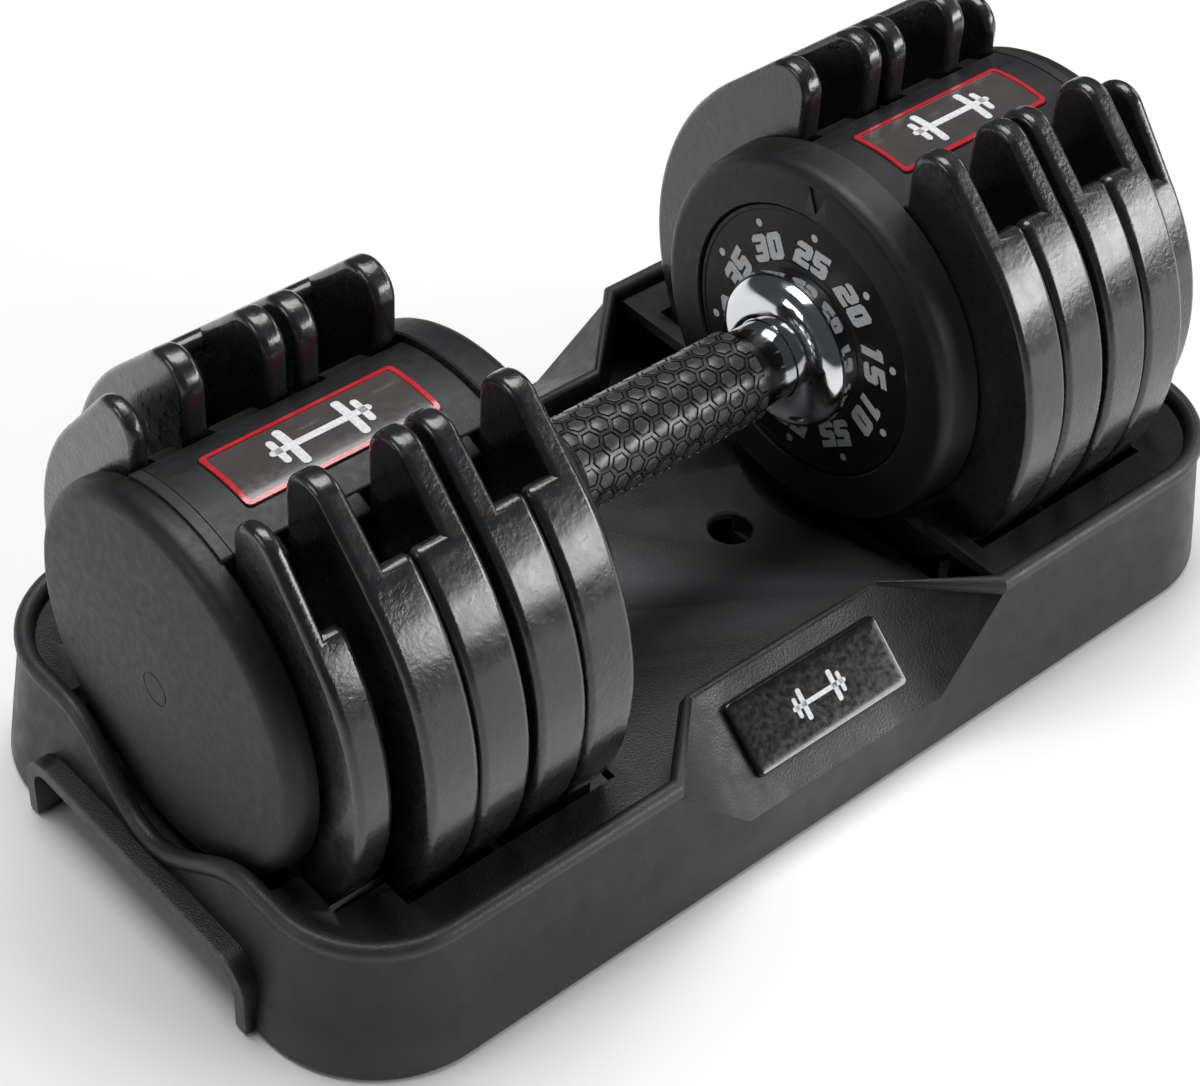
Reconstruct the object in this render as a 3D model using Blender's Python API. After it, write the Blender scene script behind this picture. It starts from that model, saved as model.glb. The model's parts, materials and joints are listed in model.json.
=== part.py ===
"""Adjustable dumbbell in its storage tray.

The origin is the bottom centre of the tray.  +X runs along the handle, +Y is the back, +Z is up.
Sizes below are millimetres and become metres when a mesh is made.  Each head is modelled once at
+X ("right") and mirrored to -X ("left").  Everything on the dumbbell has its origin on the handle
axis, which is also the axis that the handle, dials and selector discs turn about.
"""

import math

import bmesh
import bpy

MM = 0.001

# --- Clearances -------------------------------------------------------------------------------
GAP = 0.3              # between faces that touch
RUN = 0.4              # radial, round a turning part
PLAY = 2.4             # under the dumbbell inside each plate, so that a plate can be lifted a little
THROUGH = 5.0          # how far a cutting shape runs past the face it opens
OVERLAP = 1.0          # how far two shapes that become one piece reach into each other

# --- Handle and grip ---------------------------------------------------------------------------
TUBE_R = 14.8
TUBE_WALL = 3.8
GRIP_THICK = 2.2
GRIP_HALF = 41.0
GRIP_EDGE = 0.8
HAND_HALF = 72.0       # from the middle to each inner cover's face
COLLAR_FLARE = 14.8    # from the tube to the collar's rim
COLLAR_DOME = 9.5      # depth of the dome
COLLAR_SKIRT = 6.7     # from the rim to the dial
COLLAR_RIM = 1.4       # by which the rim stands out over the skirt
COLLAR_EDGE = 0.5
SHAFT_R = 6.0
SHAFT_PAST_NUT = 1.0

# --- Dial, lock and detent ---------------------------------------------------------------------
DIAL_R = 51.6
DIAL_THICK = 3.4
DIAL_RECESS = 1.0
DIAL_HUB = 4.0         # wall of the hub behind the dial
DIAL_TO_LOCK = 2.9
MARKS = 10             # settings in one turn of the dial
LOCK_R = 40.0
LOCK_THICK = 3.6
NOTCH_DEPTH = 6.5
TOOTH_HALF = 2.2
TOOTH_EASE = 0.5
TOOTH_LIFT = 1.0       # from the lock wheel to the tooth while the dumbbell is in the tray
LOCK_TRAVEL = 6.0
LOCK_EASE = 1.7        # round the lock wheel inside the slider
SLIDER_RIM = 5.8
SLIDER_THICK = 2.7
SLIDER_FOOT_HALF = 12.0
SPRING_R = 2.6
SPRING_WIRE_R = 0.5
SPRING_TURNS = 3.5
SPRING_EASE = 1.0
PLUNGER_R = 2.5
PLUNGER_DEPTH = 8.0
PLUNGER_UP = 28.0      # from the handle axis to the detent plunger
PLUNGER_TRAVEL = 1.0

# --- Selector discs ----------------------------------------------------------------------------
DISC_R = 52.9
DISC_WEB = 4.0
LIP_THICK = 4.0
LIP_SET_IN = 0.4       # from the disc's edge to a lip's outside
LIP_TIP = 1.4          # from a lip's end to the plate it carries
SECTOR = 360.0 / MARKS
SECTOR_EASE = 2.0      # degrees taken off each end of a lip
JOURNAL_R = 11.2       # outside of the spacers
WASHER_R = 15.0
WASHER_THICK = 1.5
NUT_R = 11.0           # across the corners, halved
NUT_THICK = 6.0

# --- Plates, from the inner one (5) to the outer one (1) ---------------------------------------
PLATE_R = 93.0
PLATE_THICK = 19.0
SMALL_SHORTER = 9.7    # how much smaller the outer plate's radius is
SMALL_THICK = 13.0
PLATE_GAP = 0.6        # between two plates whose recesses face each other
RIB_GAP = 3.0          # between plates 4 and 3
SMALL_GAP = 5.6        # between plates 2 and 1
FLANGE_TO_PLATE = 0.4
ARM_SHARE = 0.47       # part of a plate's thickness that its arms keep
SLOT_HALF = 24.4
TIP_R = 10.7
TIP_DROP = 12.6        # from a plate's radius down to the centre of its arms' tips
SMALL_TIP_DROP = 11.3
LUG_HALF = 5.0
LUG_TALL = 6.0
LUG_UNDER_LIP = 0.7
LUG_EASE = 0.9         # from a lug to the disc beside it

# --- Head housing, inner cover, end cap and badge ----------------------------------------------
SADDLE_OVER_DISC = 15.4
SADDLE_EASE = 0.8      # from the saddle to the sides of the plates' slots
BRIDGE_WIDER = 5.6     # how much wider than a slot the saddle is over a disc
BRIDGE_OVER_DISC = 3.6
BRIDGE_EASE = 0.8
BAY_EASE = 0.9
BAY_OVER_DISC = 1.7
RIB_WIDER = 3.0
FLANGE_THICK = 3.1
LOCK_TO_FLANGE = 1.8
COVER_OVER_SADDLE = 2.7
COVER_WALL = 3.2
COVER_FACE = 3.0
COVER_ROUND = 3.0
COVER_DRAFT = 2.0
COVER_ROUND_DIAL = 0.6
HOUSING_SHORT = 1.6    # how far the saddle stops short of the outer plate's face
NECK_LENGTH = 3.2
CAP_UNDER_SADDLE = 1.3
CAP_THICK = 10.8
CAP_DOME = 1.6
CAP_ROUND = 4.0
CAP_EDGE = 0.8
CAP_CAVITY_R = 20.0
CAP_CAVITY_SPARE = 2.5
BADGE_HALF = 13.1
BADGE_THICK = 1.4
BADGE_INSET = 0.8
BADGE_MARGIN = 12.5    # from each end of the saddle

# --- Tray --------------------------------------------------------------------------------------
TRAY_ROOM_X = 11.4     # past the end cap's middle
TRAY_ROOM_Y = 17.6     # past a plate's side
TRAY_CORNER = 46.0
TRAY_LIFT = 0.8        # the feet hold the tray this far off the table
RIM_DROP = 40.1        # from the handle axis to the rim
DRAFT = 7.0
WALL = 3.2
BEAD = 1.5
FLOOR = 2.4
PLATE_SEAT = 0.4       # from the tray's floor to the plates' rims
HAND_FLOOR_EASE = 3.6  # from the inner covers to the raised floor
HAND_FLOOR_SHORT = 1.8
HAND_HOLLOW_HALF = 60.0
FLOOR_HOLE_R = 8.3
FLOOR_HOLE_BACK = 25.0  # from an inner cover's face to its hole
POCKET_BACK = 15.5     # how far the pocket round an inner cover runs to each side of its face
POCKET_FRONT = 7.0
POCKET_LEVEL = 18.0
POCKET_SHALLOW = 4.6
POCKET_MIDDLE = 4.2
POCKET_DEEP = 7.0
DIP = 22.0             # how far the end walls' rim dips
DIP_HALF = 50.0
PAD_HALF_TOP = 43.5
PAD_HALF_LOW = 45.7
PAD_FLANK = 32.0       # length of the slanted rim on each side of a pad
PAD_INSET = 38.5       # how far the pad's top edge stands in from the rim
PAD_EDGE = 1.2
PAD_EDGE_DROP = 1.0
PAD_BELOW_RIM = 3.0
PAD_LOW_Z = 21.5
PAD_BADGE_HALF_X = 35.3
PAD_BADGE_HALF_UP = 13.6
PAD_BADGE_THICK = 2.4
PAD_BADGE_ROUND = 2.2
LEDGE_BELOW_RIM = 5.5  # the ledge the plates stand through
LEDGE_THICK = 4.6
LEDGE_INSET = 9.0      # its edge is inside the side walls
LEDGE_EASE = 2.8       # round the plates
LEDGE_EASE_CAP = 4.0
LEDGE_PAST_PLATE = 1.5
SHELF_EASE = 3.1       # from an end cap to the shelf below it
SHELF_FROM_PLATE = 2.0
SHELF_WIDER = 12.0
HOLD_ROOF = 2.5
HOLD_HALF = 56.0
HOLD_CORNER = 8.0
LIP_WIDE = 5.0
LIP_PROUD = 3.4
CRADLE_YS = (40.0, 68.0)
CRADLE_THICK = 4.0
DIVIDER_HALF = 78.0
DIVIDER_EASE = 3.7     # from a selector disc to the dividers below it
SMALL_DIVIDER_EASE = 1.2
FOOT_R = 9.0
FOOT_THICK = 2.0
FOOT_RAISE = 1.3       # how far a foot stands into its pocket
FOOT_INSET = 22.0

# --- Roundness: flats in a full turn -----------------------------------------------------------
ROUND_BIG = 32
ROUND_MID = 24
ROUND_SMALL = 12

# --- Derived radii and heights -----------------------------------------------------------------
TUBE_BORE_R = TUBE_R - TUBE_WALL
GRIP_R = TUBE_R + GRIP_THICK
COLLAR_R = TUBE_R + COLLAR_FLARE
SEAT_R = SHAFT_R + RUN
SMALL_R = PLATE_R - SMALL_SHORTER
TIP_Z = PLATE_R - TIP_DROP
SMALL_TIP_Z = SMALL_R - SMALL_TIP_DROP
RECESS_HALF = DISC_R + PLAY
LUG_OUT_R = DISC_R - LIP_THICK - LUG_UNDER_LIP
SADDLE_R = DISC_R + SADDLE_OVER_DISC
SADDLE_HALF = SLOT_HALF - SADDLE_EASE
KEEL_Z = SLOT_HALF - PLAY
BRIDGE_HALF = SLOT_HALF + BRIDGE_WIDER
BRIDGE_INNER_R = DISC_R + BRIDGE_OVER_DISC
COVER_R = SADDLE_R + COVER_OVER_SADDLE
CAP_R = SADDLE_R - CAP_UNDER_SADDLE
AXIS_Z = TRAY_LIFT + FLOOR + PLATE_SEAT + PLATE_R
TRAY_TALL = AXIS_Z - RIM_DROP
TRAY_HALF_Y = PLATE_R + TRAY_ROOM_Y
HAND_FLOOR_Z = AXIS_Z - COVER_R - HAND_FLOOR_EASE
PAD_TOP_Z = TRAY_TALL - PAD_BELOW_RIM
SHELF_Z = AXIS_Z - CAP_R - SHELF_EASE
HOLD_TALL = SHELF_Z - HOLD_ROOF
DIVIDER_Z = AXIS_Z - DISC_R - DIVIDER_EASE
WINDOW_R = LOCK_R + LOCK_EASE
SLIDER_R = WINDOW_R + SLIDER_RIM
SLIDER_RISE = LOCK_TRAVEL - TOOTH_EASE

# --- Derived stations along the handle, for the +X head ----------------------------------------
COVER_X = HAND_HALF
DIAL_X0 = COVER_X + DIAL_RECESS
DIAL_X1 = DIAL_X0 + DIAL_THICK
LOCK_X0 = DIAL_X1 + DIAL_TO_LOCK
LOCK_X1 = LOCK_X0 + LOCK_THICK
LOCK_MIDDLE = (LOCK_X0 + LOCK_X1) / 2
TUBE_END = LOCK_X1
FLANGE_X0 = LOCK_X1 + LOCK_TO_FLANGE
FLANGE_X1 = FLANGE_X0 + FLANGE_THICK

P5 = (FLANGE_X1 + FLANGE_TO_PLATE, FLANGE_X1 + FLANGE_TO_PLATE + PLATE_THICK)
P4 = (P5[1] + PLATE_GAP, P5[1] + PLATE_GAP + PLATE_THICK)
P3 = (P4[1] + RIB_GAP, P4[1] + RIB_GAP + PLATE_THICK)
P2 = (P3[1] + PLATE_GAP, P3[1] + PLATE_GAP + PLATE_THICK)
P1 = (P2[1] + SMALL_GAP, P2[1] + SMALL_GAP + SMALL_THICK)
ARM = PLATE_THICK * ARM_SHARE
SMALL_ARM = SMALL_THICK * ARM_SHARE

# The open space beside each selector disc, between the arms of the plates it carries.
BAY_A = (P5[0] + ARM, P4[1] - ARM)
BAY_B = (P3[0] + ARM, P2[1] - ARM)
BAY_C = (P2[1], P1[1] - SMALL_ARM)
DISC_A = (P5[1] + P4[0]) / 2 - DISC_WEB / 2
DISC_B = (P3[1] + P2[0]) / 2 - DISC_WEB / 2
DISC_C = P2[1] + BAY_EASE + LUG_EASE

HOUSING_X1 = P1[1] - HOUSING_SHORT
CAP_X0 = HOUSING_X1 + NECK_LENGTH
CAP_X1 = CAP_X0 + CAP_THICK
WASHER_X = HOUSING_X1 + GAP
NUT_X = WASHER_X + WASHER_THICK + GAP
SHAFT_END = NUT_X + NUT_THICK + SHAFT_PAST_NUT
CAP_CAVITY_END = SHAFT_END + CAP_CAVITY_SPARE
TRAY_HALF_X = CAP_X1 + CAP_DOME + TRAY_ROOM_X
HAND_FLOOR_HALF = FLANGE_X1 - HAND_FLOOR_SHORT
FLOOR_HOLE_X = HAND_HALF - FLOOR_HOLE_BACK
POCKET_X0 = COVER_X - POCKET_BACK
POCKET_X1 = COVER_X + POCKET_FRONT


# --- Mesh helpers ------------------------------------------------------------------------------

def clear_scene():
    for obj in list(bpy.data.objects):
        bpy.data.objects.remove(obj, do_unlink=True)


def material(name, color, roughness, metallic=0.0):
    mat = bpy.data.materials.new(name)
    mat.use_nodes = True
    shader = mat.node_tree.nodes["Principled BSDF"]
    shader.inputs["Base Color"].default_value = (*color, 1.0)
    shader.inputs["Roughness"].default_value = roughness
    shader.inputs["Metallic"].default_value = metallic
    return mat


def finish_mesh(bm, name, smooth=True):
    bmesh.ops.recalc_face_normals(bm, faces=bm.faces)
    mesh = bpy.data.meshes.new(name)
    bm.to_mesh(mesh)
    bm.free()
    if smooth:
        mesh.shade_smooth()
        mesh.set_sharp_from_angle(angle=math.radians(32))
    return mesh


def solid(name, points, faces, mat=None, at=(0.0, 0.0, 0.0)):
    """A closed solid from points in millimetres; 'at' is its origin in millimetres."""
    bm = bmesh.new()
    verts = [bm.verts.new((x * MM, y * MM, z * MM)) for x, y, z in points]
    for face in faces:
        bm.faces.new([verts[i] for i in face])
    obj = bpy.data.objects.new(name, finish_mesh(bm, name))
    bpy.context.scene.collection.objects.link(obj)
    obj.location = tuple(value * MM for value in at)
    if mat is not None:
        obj.data.materials.append(mat)
    return obj


def arc(center, radius, start, end, steps):
    """Points on a circle, both ends included; angles in degrees."""
    points = []
    for i in range(steps + 1):
        angle = math.radians(start + (end - start) * i / steps)
        points.append((center[0] + radius * math.cos(angle), center[1] + radius * math.sin(angle)))
    return points


def prism(name, outline, x0, x1, mat=None, at=(0.0, 0.0, 0.0)):
    """An outline of (y, z) points, extruded along X."""
    count = len(outline)
    points = [(x0, y, z) for y, z in outline] + [(x1, y, z) for y, z in outline]
    faces = [tuple(range(count)), tuple(range(2 * count - 1, count - 1, -1))]
    for i in range(count):
        j = (i + 1) % count
        faces.append((i, i + count, j + count, j))
    return solid(name, points, faces, mat, at)


def turned(name, profile, steps, mat=None, at=(0.0, 0.0, 0.0)):
    """A closed profile of (x, radius) points, turned about X. Radius 0 marks a point on the axis."""
    points = []
    rings = []
    for x, radius in profile:
        if radius == 0:
            rings.append([len(points)] * steps)
            points.append((x, 0.0, 0.0))
            continue
        rings.append(list(range(len(points), len(points) + steps)))
        for i in range(steps):
            angle = 2 * math.pi * (i + 0.5) / steps
            points.append((x, radius * math.cos(angle), radius * math.sin(angle)))
    faces = []
    for k, ring in enumerate(rings):
        other = rings[(k + 1) % len(rings)]
        if ring[0] == ring[1] and other[0] == other[1]:
            continue
        for i in range(steps):
            j = (i + 1) % steps
            face = []
            for index in (ring[i], ring[j], other[j], other[i]):
                if index not in face:
                    face.append(index)
            faces.append(tuple(face))
    return solid(name, points, faces, mat, at)


def sleeve(name, inner, outer, x0, x1, steps, mat=None, at=(0.0, 0.0, 0.0)):
    return turned(name, [(x0, inner), (x0, outer), (x1, outer), (x1, inner)], steps, mat, at)


def rod(name, radius, x0, x1, steps, mat=None, at=(0.0, 0.0, 0.0)):
    return turned(name, [(x0, 0), (x0, radius), (x1, radius), (x1, 0)], steps, mat, at)


def box(name, low, high, mat=None, at=(0.0, 0.0, 0.0)):
    outline = [(low[1], low[2]), (high[1], low[2]), (high[1], high[2]), (low[1], high[2])]
    return prism(name, outline, low[0], high[0], mat, at)


def combine(target, tool, operation):
    """Joins, cuts or intersects the target with a tool, which is then removed."""
    modifier = target.modifiers.new(operation.lower(), 'BOOLEAN')
    modifier.operation = operation
    modifier.solver = 'EXACT'
    modifier.object = tool
    bpy.context.view_layer.update()
    graph = bpy.context.evaluated_depsgraph_get()
    result = bpy.data.meshes.new_from_object(target.evaluated_get(graph))
    target.modifiers.clear()
    mats = list(target.data.materials)
    target.data = result
    result.materials.clear()
    for mat in mats:
        result.materials.append(mat)
    bm = bmesh.new()
    bm.from_mesh(result)
    bmesh.ops.dissolve_limit(bm, angle_limit=math.radians(0.05), verts=bm.verts, edges=bm.edges)
    bmesh.ops.remove_doubles(bm, verts=bm.verts, dist=0.00001)
    bm.to_mesh(result)
    bm.free()
    result.shade_smooth()
    result.set_sharp_from_angle(angle=math.radians(32))
    bpy.data.objects.remove(tool, do_unlink=True)
    return target


def cut(target, tool):
    return combine(target, tool, 'DIFFERENCE')


def join(target, tool):
    return combine(target, tool, 'UNION')


def mirrored(obj, name):
    """The same piece for the -X head, as an object of its own."""
    bm = bmesh.new()
    bm.from_mesh(obj.data)
    for vert in bm.verts:
        vert.co.x = -vert.co.x
    bmesh.ops.reverse_faces(bm, faces=bm.faces)
    mesh = bpy.data.meshes.new(name)
    bm.to_mesh(mesh)
    bm.free()
    mesh.shade_smooth()
    mesh.set_sharp_from_angle(angle=math.radians(32))
    for mat in obj.data.materials:
        mesh.materials.append(mat)
    twin = bpy.data.objects.new(name, mesh)
    bpy.context.scene.collection.objects.link(twin)
    twin.location = obj.location
    twin.parent = obj.parent
    return twin


# --- Plates ------------------------------------------------------------------------------------

def plate_outline(radius, tip_z):
    """Half of a plate's face, from the bottom of its slot round its arm to the bottom of its rim."""
    tip = (SLOT_HALF + TIP_R, tip_z)
    reach = math.hypot(*tip)
    lean = math.degrees(math.atan2(tip[1], tip[0]) - math.acos((radius - TIP_R) / reach))
    half = arc((0, 0), SLOT_HALF, -90, 0, 6)
    half += arc(tip, TIP_R, 180, lean, 4)
    half += arc((0, 0), radius, lean, -90, 17)
    return half


def open_top_outline(half_width, depth, top):
    """A U shape, open upwards: straight sides on a round bottom."""
    points = [(-half_width, top)]
    points += arc((0, half_width - depth), half_width, 180, 360, 14)
    points.append((half_width, top))
    return points


def plate(name, span, radius, tip_z, arm, arm_side, disc_face, mat, at):
    """A U-shaped plate; arm_side is -1 where its thin arms lie on the inner side, +1 outer.

    Its lug hangs over the selector's lips, and reaches to the disc's face at disc_face.
    """
    half = plate_outline(radius, tip_z)
    outline = half + [(-y, z) for y, z in reversed(half[1:-1])]
    piece = prism(name, outline, span[0], span[1], mat, at)
    face = span[0] + arm if arm_side < 0 else span[1] - arm
    low, high = (face, span[1] + THROUGH) if arm_side < 0 else (span[0] - THROUGH, face)
    recess = open_top_outline(RECESS_HALF, RECESS_HALF, radius + THROUGH)
    cut(piece, prism("recess", recess, low, high, at=at))
    x0, x1 = sorted((face + arm_side * OVERLAP, disc_face + arm_side * LUG_EASE))
    lug = box("lug", (x0, -LUG_HALF, -LUG_OUT_R), (x1, LUG_HALF, LUG_TALL - LUG_OUT_R), at=at)
    return join(piece, lug)


# --- Turning parts -----------------------------------------------------------------------------

def sector_outline(inner, outer, start, end):
    steps = max(2, round((end - start) / 13))
    return arc((0, 0), outer, start, end, steps) + arc((0, 0), inner, end, start, steps)


def setting_angle(setting):
    """The place of a setting's lips, in degrees from +Y towards +Z, at the 25 lb position."""
    return -90 - (setting - 3) * SECTOR


def selector(name, x0, inner_runs, outer_runs, reach_in, reach_out, mat, at):
    """A disc with part-round lips; each run of settings (first, last) is one lip."""
    piece = sleeve(name, SEAT_R, DISC_R, x0, x0 + DISC_WEB, ROUND_MID, mat, at)
    overlap = DISC_WEB / 2
    for runs, low, high in ((inner_runs, x0 - reach_in, x0 + overlap),
                            (outer_runs, x0 + DISC_WEB - overlap, x0 + DISC_WEB + reach_out)):
        for first, last in runs:
            start = setting_angle(last) - SECTOR / 2 + SECTOR_EASE
            end = setting_angle(first) + SECTOR / 2 - SECTOR_EASE
            outline = sector_outline(DISC_R - LIP_THICK, DISC_R - LIP_SET_IN, start, end)
            join(piece, prism("lip", outline, low, high, at=at))
    return piece


def lock_wheel(name, mat, at):
    """A wheel with one notch for each setting."""
    outline = []
    half = TOOTH_HALF + TOOTH_EASE
    edge = math.degrees(math.asin(half / LOCK_R))
    for i in range(MARKS):
        middle = 90 + i * SECTOR
        outline += arc((0, 0), LOCK_R, middle + edge, middle + SECTOR - edge, 2)
        turn = math.radians(middle + SECTOR)
        for side in (-half, half):
            radial = LOCK_R - NOTCH_DEPTH
            outline.append((radial * math.cos(turn) - side * math.sin(turn),
                            radial * math.sin(turn) + side * math.cos(turn)))
    piece = prism(name, outline, LOCK_X0, LOCK_X1, mat, at)
    return cut(piece, rod("bore", TUBE_R + RUN, LOCK_X0 - THROUGH, LOCK_X1 + THROUGH, ROUND_MID, at=at))


def lock_slider(name, mat, at):
    """A window frame round the lock wheel, with a tooth above it and a foot below the cover."""
    x0 = LOCK_MIDDLE - SLIDER_THICK / 2
    x1 = x0 + SLIDER_THICK
    foot_z = HAND_FLOOR_Z + GAP - AXIS_Z
    corner = -math.degrees(math.acos(SLIDER_FOOT_HALF / SLIDER_R))
    outline = arc((0, SLIDER_RISE), SLIDER_R, 0, 180, 12)
    outline += arc((0, 0), SLIDER_R, 180, 180 - corner, 5)
    outline += [(-SLIDER_FOOT_HALF, foot_z), (SLIDER_FOOT_HALF, foot_z)]
    outline += arc((0, 0), SLIDER_R, corner, 0, 5)
    piece = prism(name, outline, x0, x1, mat, at)
    hole = arc((0, SLIDER_RISE), WINDOW_R, 0, 180, 12) + arc((0, 0), WINDOW_R, 180, 360, 12)
    cut(piece, prism("window", hole, x0 - THROUGH, x1 + THROUGH, at=at))
    tooth = box("tooth", (x0, -TOOTH_HALF, LOCK_R + TOOTH_LIFT),
                (x1, TOOTH_HALF, WINDOW_R + SLIDER_RISE + OVERLAP), at=at)
    return join(piece, tooth)


def lock_spring(name, mat, at):
    """The spring that pushes a lock slider down: a round wire along an upright helix."""
    low = SLIDER_RISE + SLIDER_R + GAP + SPRING_WIRE_R
    high = COVER_R - COVER_WALL - SPRING_EASE - SPRING_WIRE_R
    per_turn = 8
    sides = 4
    count = round(SPRING_TURNS * per_turn)
    points = []
    for k in range(count + 1):
        angle = 2 * math.pi * k / per_turn
        rise = low + (high - low) * k / count
        for s in range(sides):
            around = 2 * math.pi * s / sides
            ring = SPRING_R + SPRING_WIRE_R * math.cos(around)
            points.append((LOCK_MIDDLE + ring * math.cos(angle), ring * math.sin(angle),
                           rise + SPRING_WIRE_R * math.sin(around)))
    faces = [tuple(range(sides)), tuple(range(count * sides, (count + 1) * sides))]
    for k in range(count):
        for s in range(sides):
            t = (s + 1) % sides
            a = k * sides
            faces.append((a + s, a + t, a + sides + t, a + sides + s))
    return solid(name, points, faces, mat, at)


# --- Head --------------------------------------------------------------------------------------

def saddle_outline(half, keel_z, top_r):
    """The body between a plate's arms: round keel, straight sides, round top."""
    top_angle = math.degrees(math.acos(half / top_r))
    points = arc((0, half - keel_z), half, -180, 0, 10)
    points += arc((0, 0), top_r, top_angle, 180 - top_angle, 6)
    return points


def bridge_outline(half, inner, outer):
    outer_angle = math.degrees(math.acos(half / outer))
    inner_angle = math.degrees(math.acos(half / inner))
    points = arc((0, 0), outer, outer_angle, 180 - outer_angle, 6)
    points += arc((0, 0), inner, 180 - inner_angle, inner_angle, 4)
    return points


def head_housing(name, mat, at):
    """The saddle that runs through the plates' slots, with bays that clear the selector discs."""
    piece = prism(name, saddle_outline(SADDLE_HALF, KEEL_Z, SADDLE_R), FLANGE_X1, HOUSING_X1, mat, at)
    flange_r = COVER_R - COVER_WALL - GAP
    join(piece, rod("flange", flange_r, FLANGE_X0, FLANGE_X1, ROUND_BIG, at=at))
    bridge = bridge_outline(BRIDGE_HALF, BRIDGE_INNER_R, SADDLE_R)
    for bay in (BAY_A, BAY_B, BAY_C):
        low = bay[0] + BAY_EASE
        high = bay[1] - BAY_EASE
        cut(piece, rod("bay", DISC_R + BAY_OVER_DISC, low, high, ROUND_MID, at=at))
        join(piece, prism("bridge", bridge, low + BRIDGE_EASE, high - BRIDGE_EASE, at=at))
    rib = bridge_outline(SADDLE_HALF + RIB_WIDER, BRIDGE_INNER_R, SADDLE_R)
    join(piece, prism("rib", rib, P4[1] + FLANGE_TO_PLATE, P3[0] - FLANGE_TO_PLATE, at=at))
    cut(piece, rod("journal", JOURNAL_R + RUN, FLANGE_X0 - THROUGH, HOUSING_X1 + THROUGH, ROUND_SMALL, at=at))
    plunger_at = (at[0], at[1], at[2] + PLUNGER_UP)
    bore_end = FLANGE_X0 + PLUNGER_DEPTH + PLUNGER_TRAVEL
    cut(piece, rod("plunger_bore", PLUNGER_R + RUN, FLANGE_X0 - THROUGH, bore_end, ROUND_SMALL,
                   at=plunger_at))
    low = FLANGE_X1 + BADGE_MARGIN
    high = HOUSING_X1 - BADGE_MARGIN
    return cut(piece, badge_solid("badge_seat", low, high, BADGE_HALF + GAP,
                                  SADDLE_R - BADGE_INSET, SADDLE_R + THROUGH, None, at))


def badge_solid(name, x0, x1, half, inner, outer, mat, at):
    spread = math.degrees(math.asin(half / inner))
    outline = arc((0, 0), outer, 90 - spread, 90 + spread, 6)
    outline += arc((0, 0), inner, 90 + spread, 90 - spread, 6)
    return prism(name, outline, x0, x1, mat, at)


def end_cap(name, mat, at):
    """A domed disc on a short neck, with a hollow for the shaft's nut."""
    profile = [(CAP_X0, 0), (CAP_X0, CAP_R - CAP_EDGE), (CAP_X0 + CAP_EDGE, CAP_R)]
    center = (CAP_X1 - CAP_ROUND, CAP_R - CAP_ROUND)
    profile += [(center[0] + y, center[1] + x) for x, y in arc((0, 0), CAP_ROUND, 0, 80, 3)]
    steps = 3
    rim = profile[-1]
    for i in range(1, steps):
        share = i / steps
        profile.append((rim[0] + CAP_DOME * math.sin(share * math.pi / 2), rim[1] * (1 - share)))
    profile.append((rim[0] + CAP_DOME, 0))
    piece = turned(name, profile, ROUND_BIG, mat, at)
    neck = saddle_outline(SADDLE_HALF, KEEL_Z, SADDLE_R)
    join(piece, prism("neck", neck, HOUSING_X1 + GAP, CAP_X0 + OVERLAP, at=at))
    return cut(piece, rod("hollow", CAP_CAVITY_R, HOUSING_X1 - THROUGH, CAP_CAVITY_END, ROUND_SMALL, at=at))


def inner_cover(name, mat, at):
    """The round cover with the opening for the dial; the lock's foot passes through its wall."""
    wall_r = COVER_R - COVER_WALL
    face_r = COVER_R - COVER_DRAFT
    opening = DIAL_R + COVER_ROUND_DIAL
    profile = [(COVER_X + COVER_FACE, opening), (COVER_X, opening)]
    profile += [(COVER_X + COVER_ROUND + y, face_r - COVER_ROUND + x)
                for x, y in arc((0, 0), COVER_ROUND, -90, 0, 2)]
    profile += [(FLANGE_X1 - GAP, COVER_R), (FLANGE_X1 - GAP, wall_r), (COVER_X + COVER_FACE, wall_r)]
    piece = turned(name, profile, ROUND_BIG, mat, at)
    reach = SLIDER_THICK / 2 + TOOTH_EASE
    half = SLIDER_FOOT_HALF + TOOTH_EASE
    low = (LOCK_MIDDLE - reach, -half, -COVER_R - THROUGH)
    high = (LOCK_MIDDLE + reach, half, -SLIDER_R)
    return cut(piece, box("foot_slot", low, high, at=at))


def dial(name, mat, at):
    seat = TUBE_R + RUN
    hub = seat + DIAL_HUB
    profile = [(DIAL_X0, seat), (DIAL_X0, DIAL_R), (DIAL_X1, DIAL_R), (DIAL_X1, hub),
               (LOCK_X0 - GAP, hub), (LOCK_X0 - GAP, seat)]
    return turned(name, profile, ROUND_BIG, mat, at)


def collar(name, mat, at):
    """The domed chrome collar between the handle tube and the dial, on a narrower skirt."""
    seat = TUBE_R + GAP
    x1 = DIAL_X0 - GAP
    rim_x = x1 - COLLAR_SKIRT
    skirt_r = COLLAR_R - COLLAR_RIM
    steps = 4
    profile = [(x1, seat), (rim_x - COLLAR_DOME, seat)]
    for i in range(steps + 1):
        turn = math.pi / 2 * i / steps
        profile.append((rim_x - COLLAR_DOME * math.cos(turn),
                        seat + COLLAR_EDGE + (COLLAR_R - seat - COLLAR_EDGE) * math.sin(turn)))
    profile += [(rim_x + COLLAR_RIM, skirt_r), (x1, skirt_r)]
    return turned(name, profile, ROUND_MID, mat, at)


def grip(name, mat, at):
    seat = TUBE_R + GAP
    edge_r = GRIP_R - GRIP_EDGE
    level = GRIP_HALF - GRIP_EDGE
    profile = [(-GRIP_HALF, seat), (-GRIP_HALF, edge_r), (-level, GRIP_R), (level, GRIP_R),
               (GRIP_HALF, edge_r), (GRIP_HALF, seat)]
    return turned(name, profile, ROUND_MID, mat, at)


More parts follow.
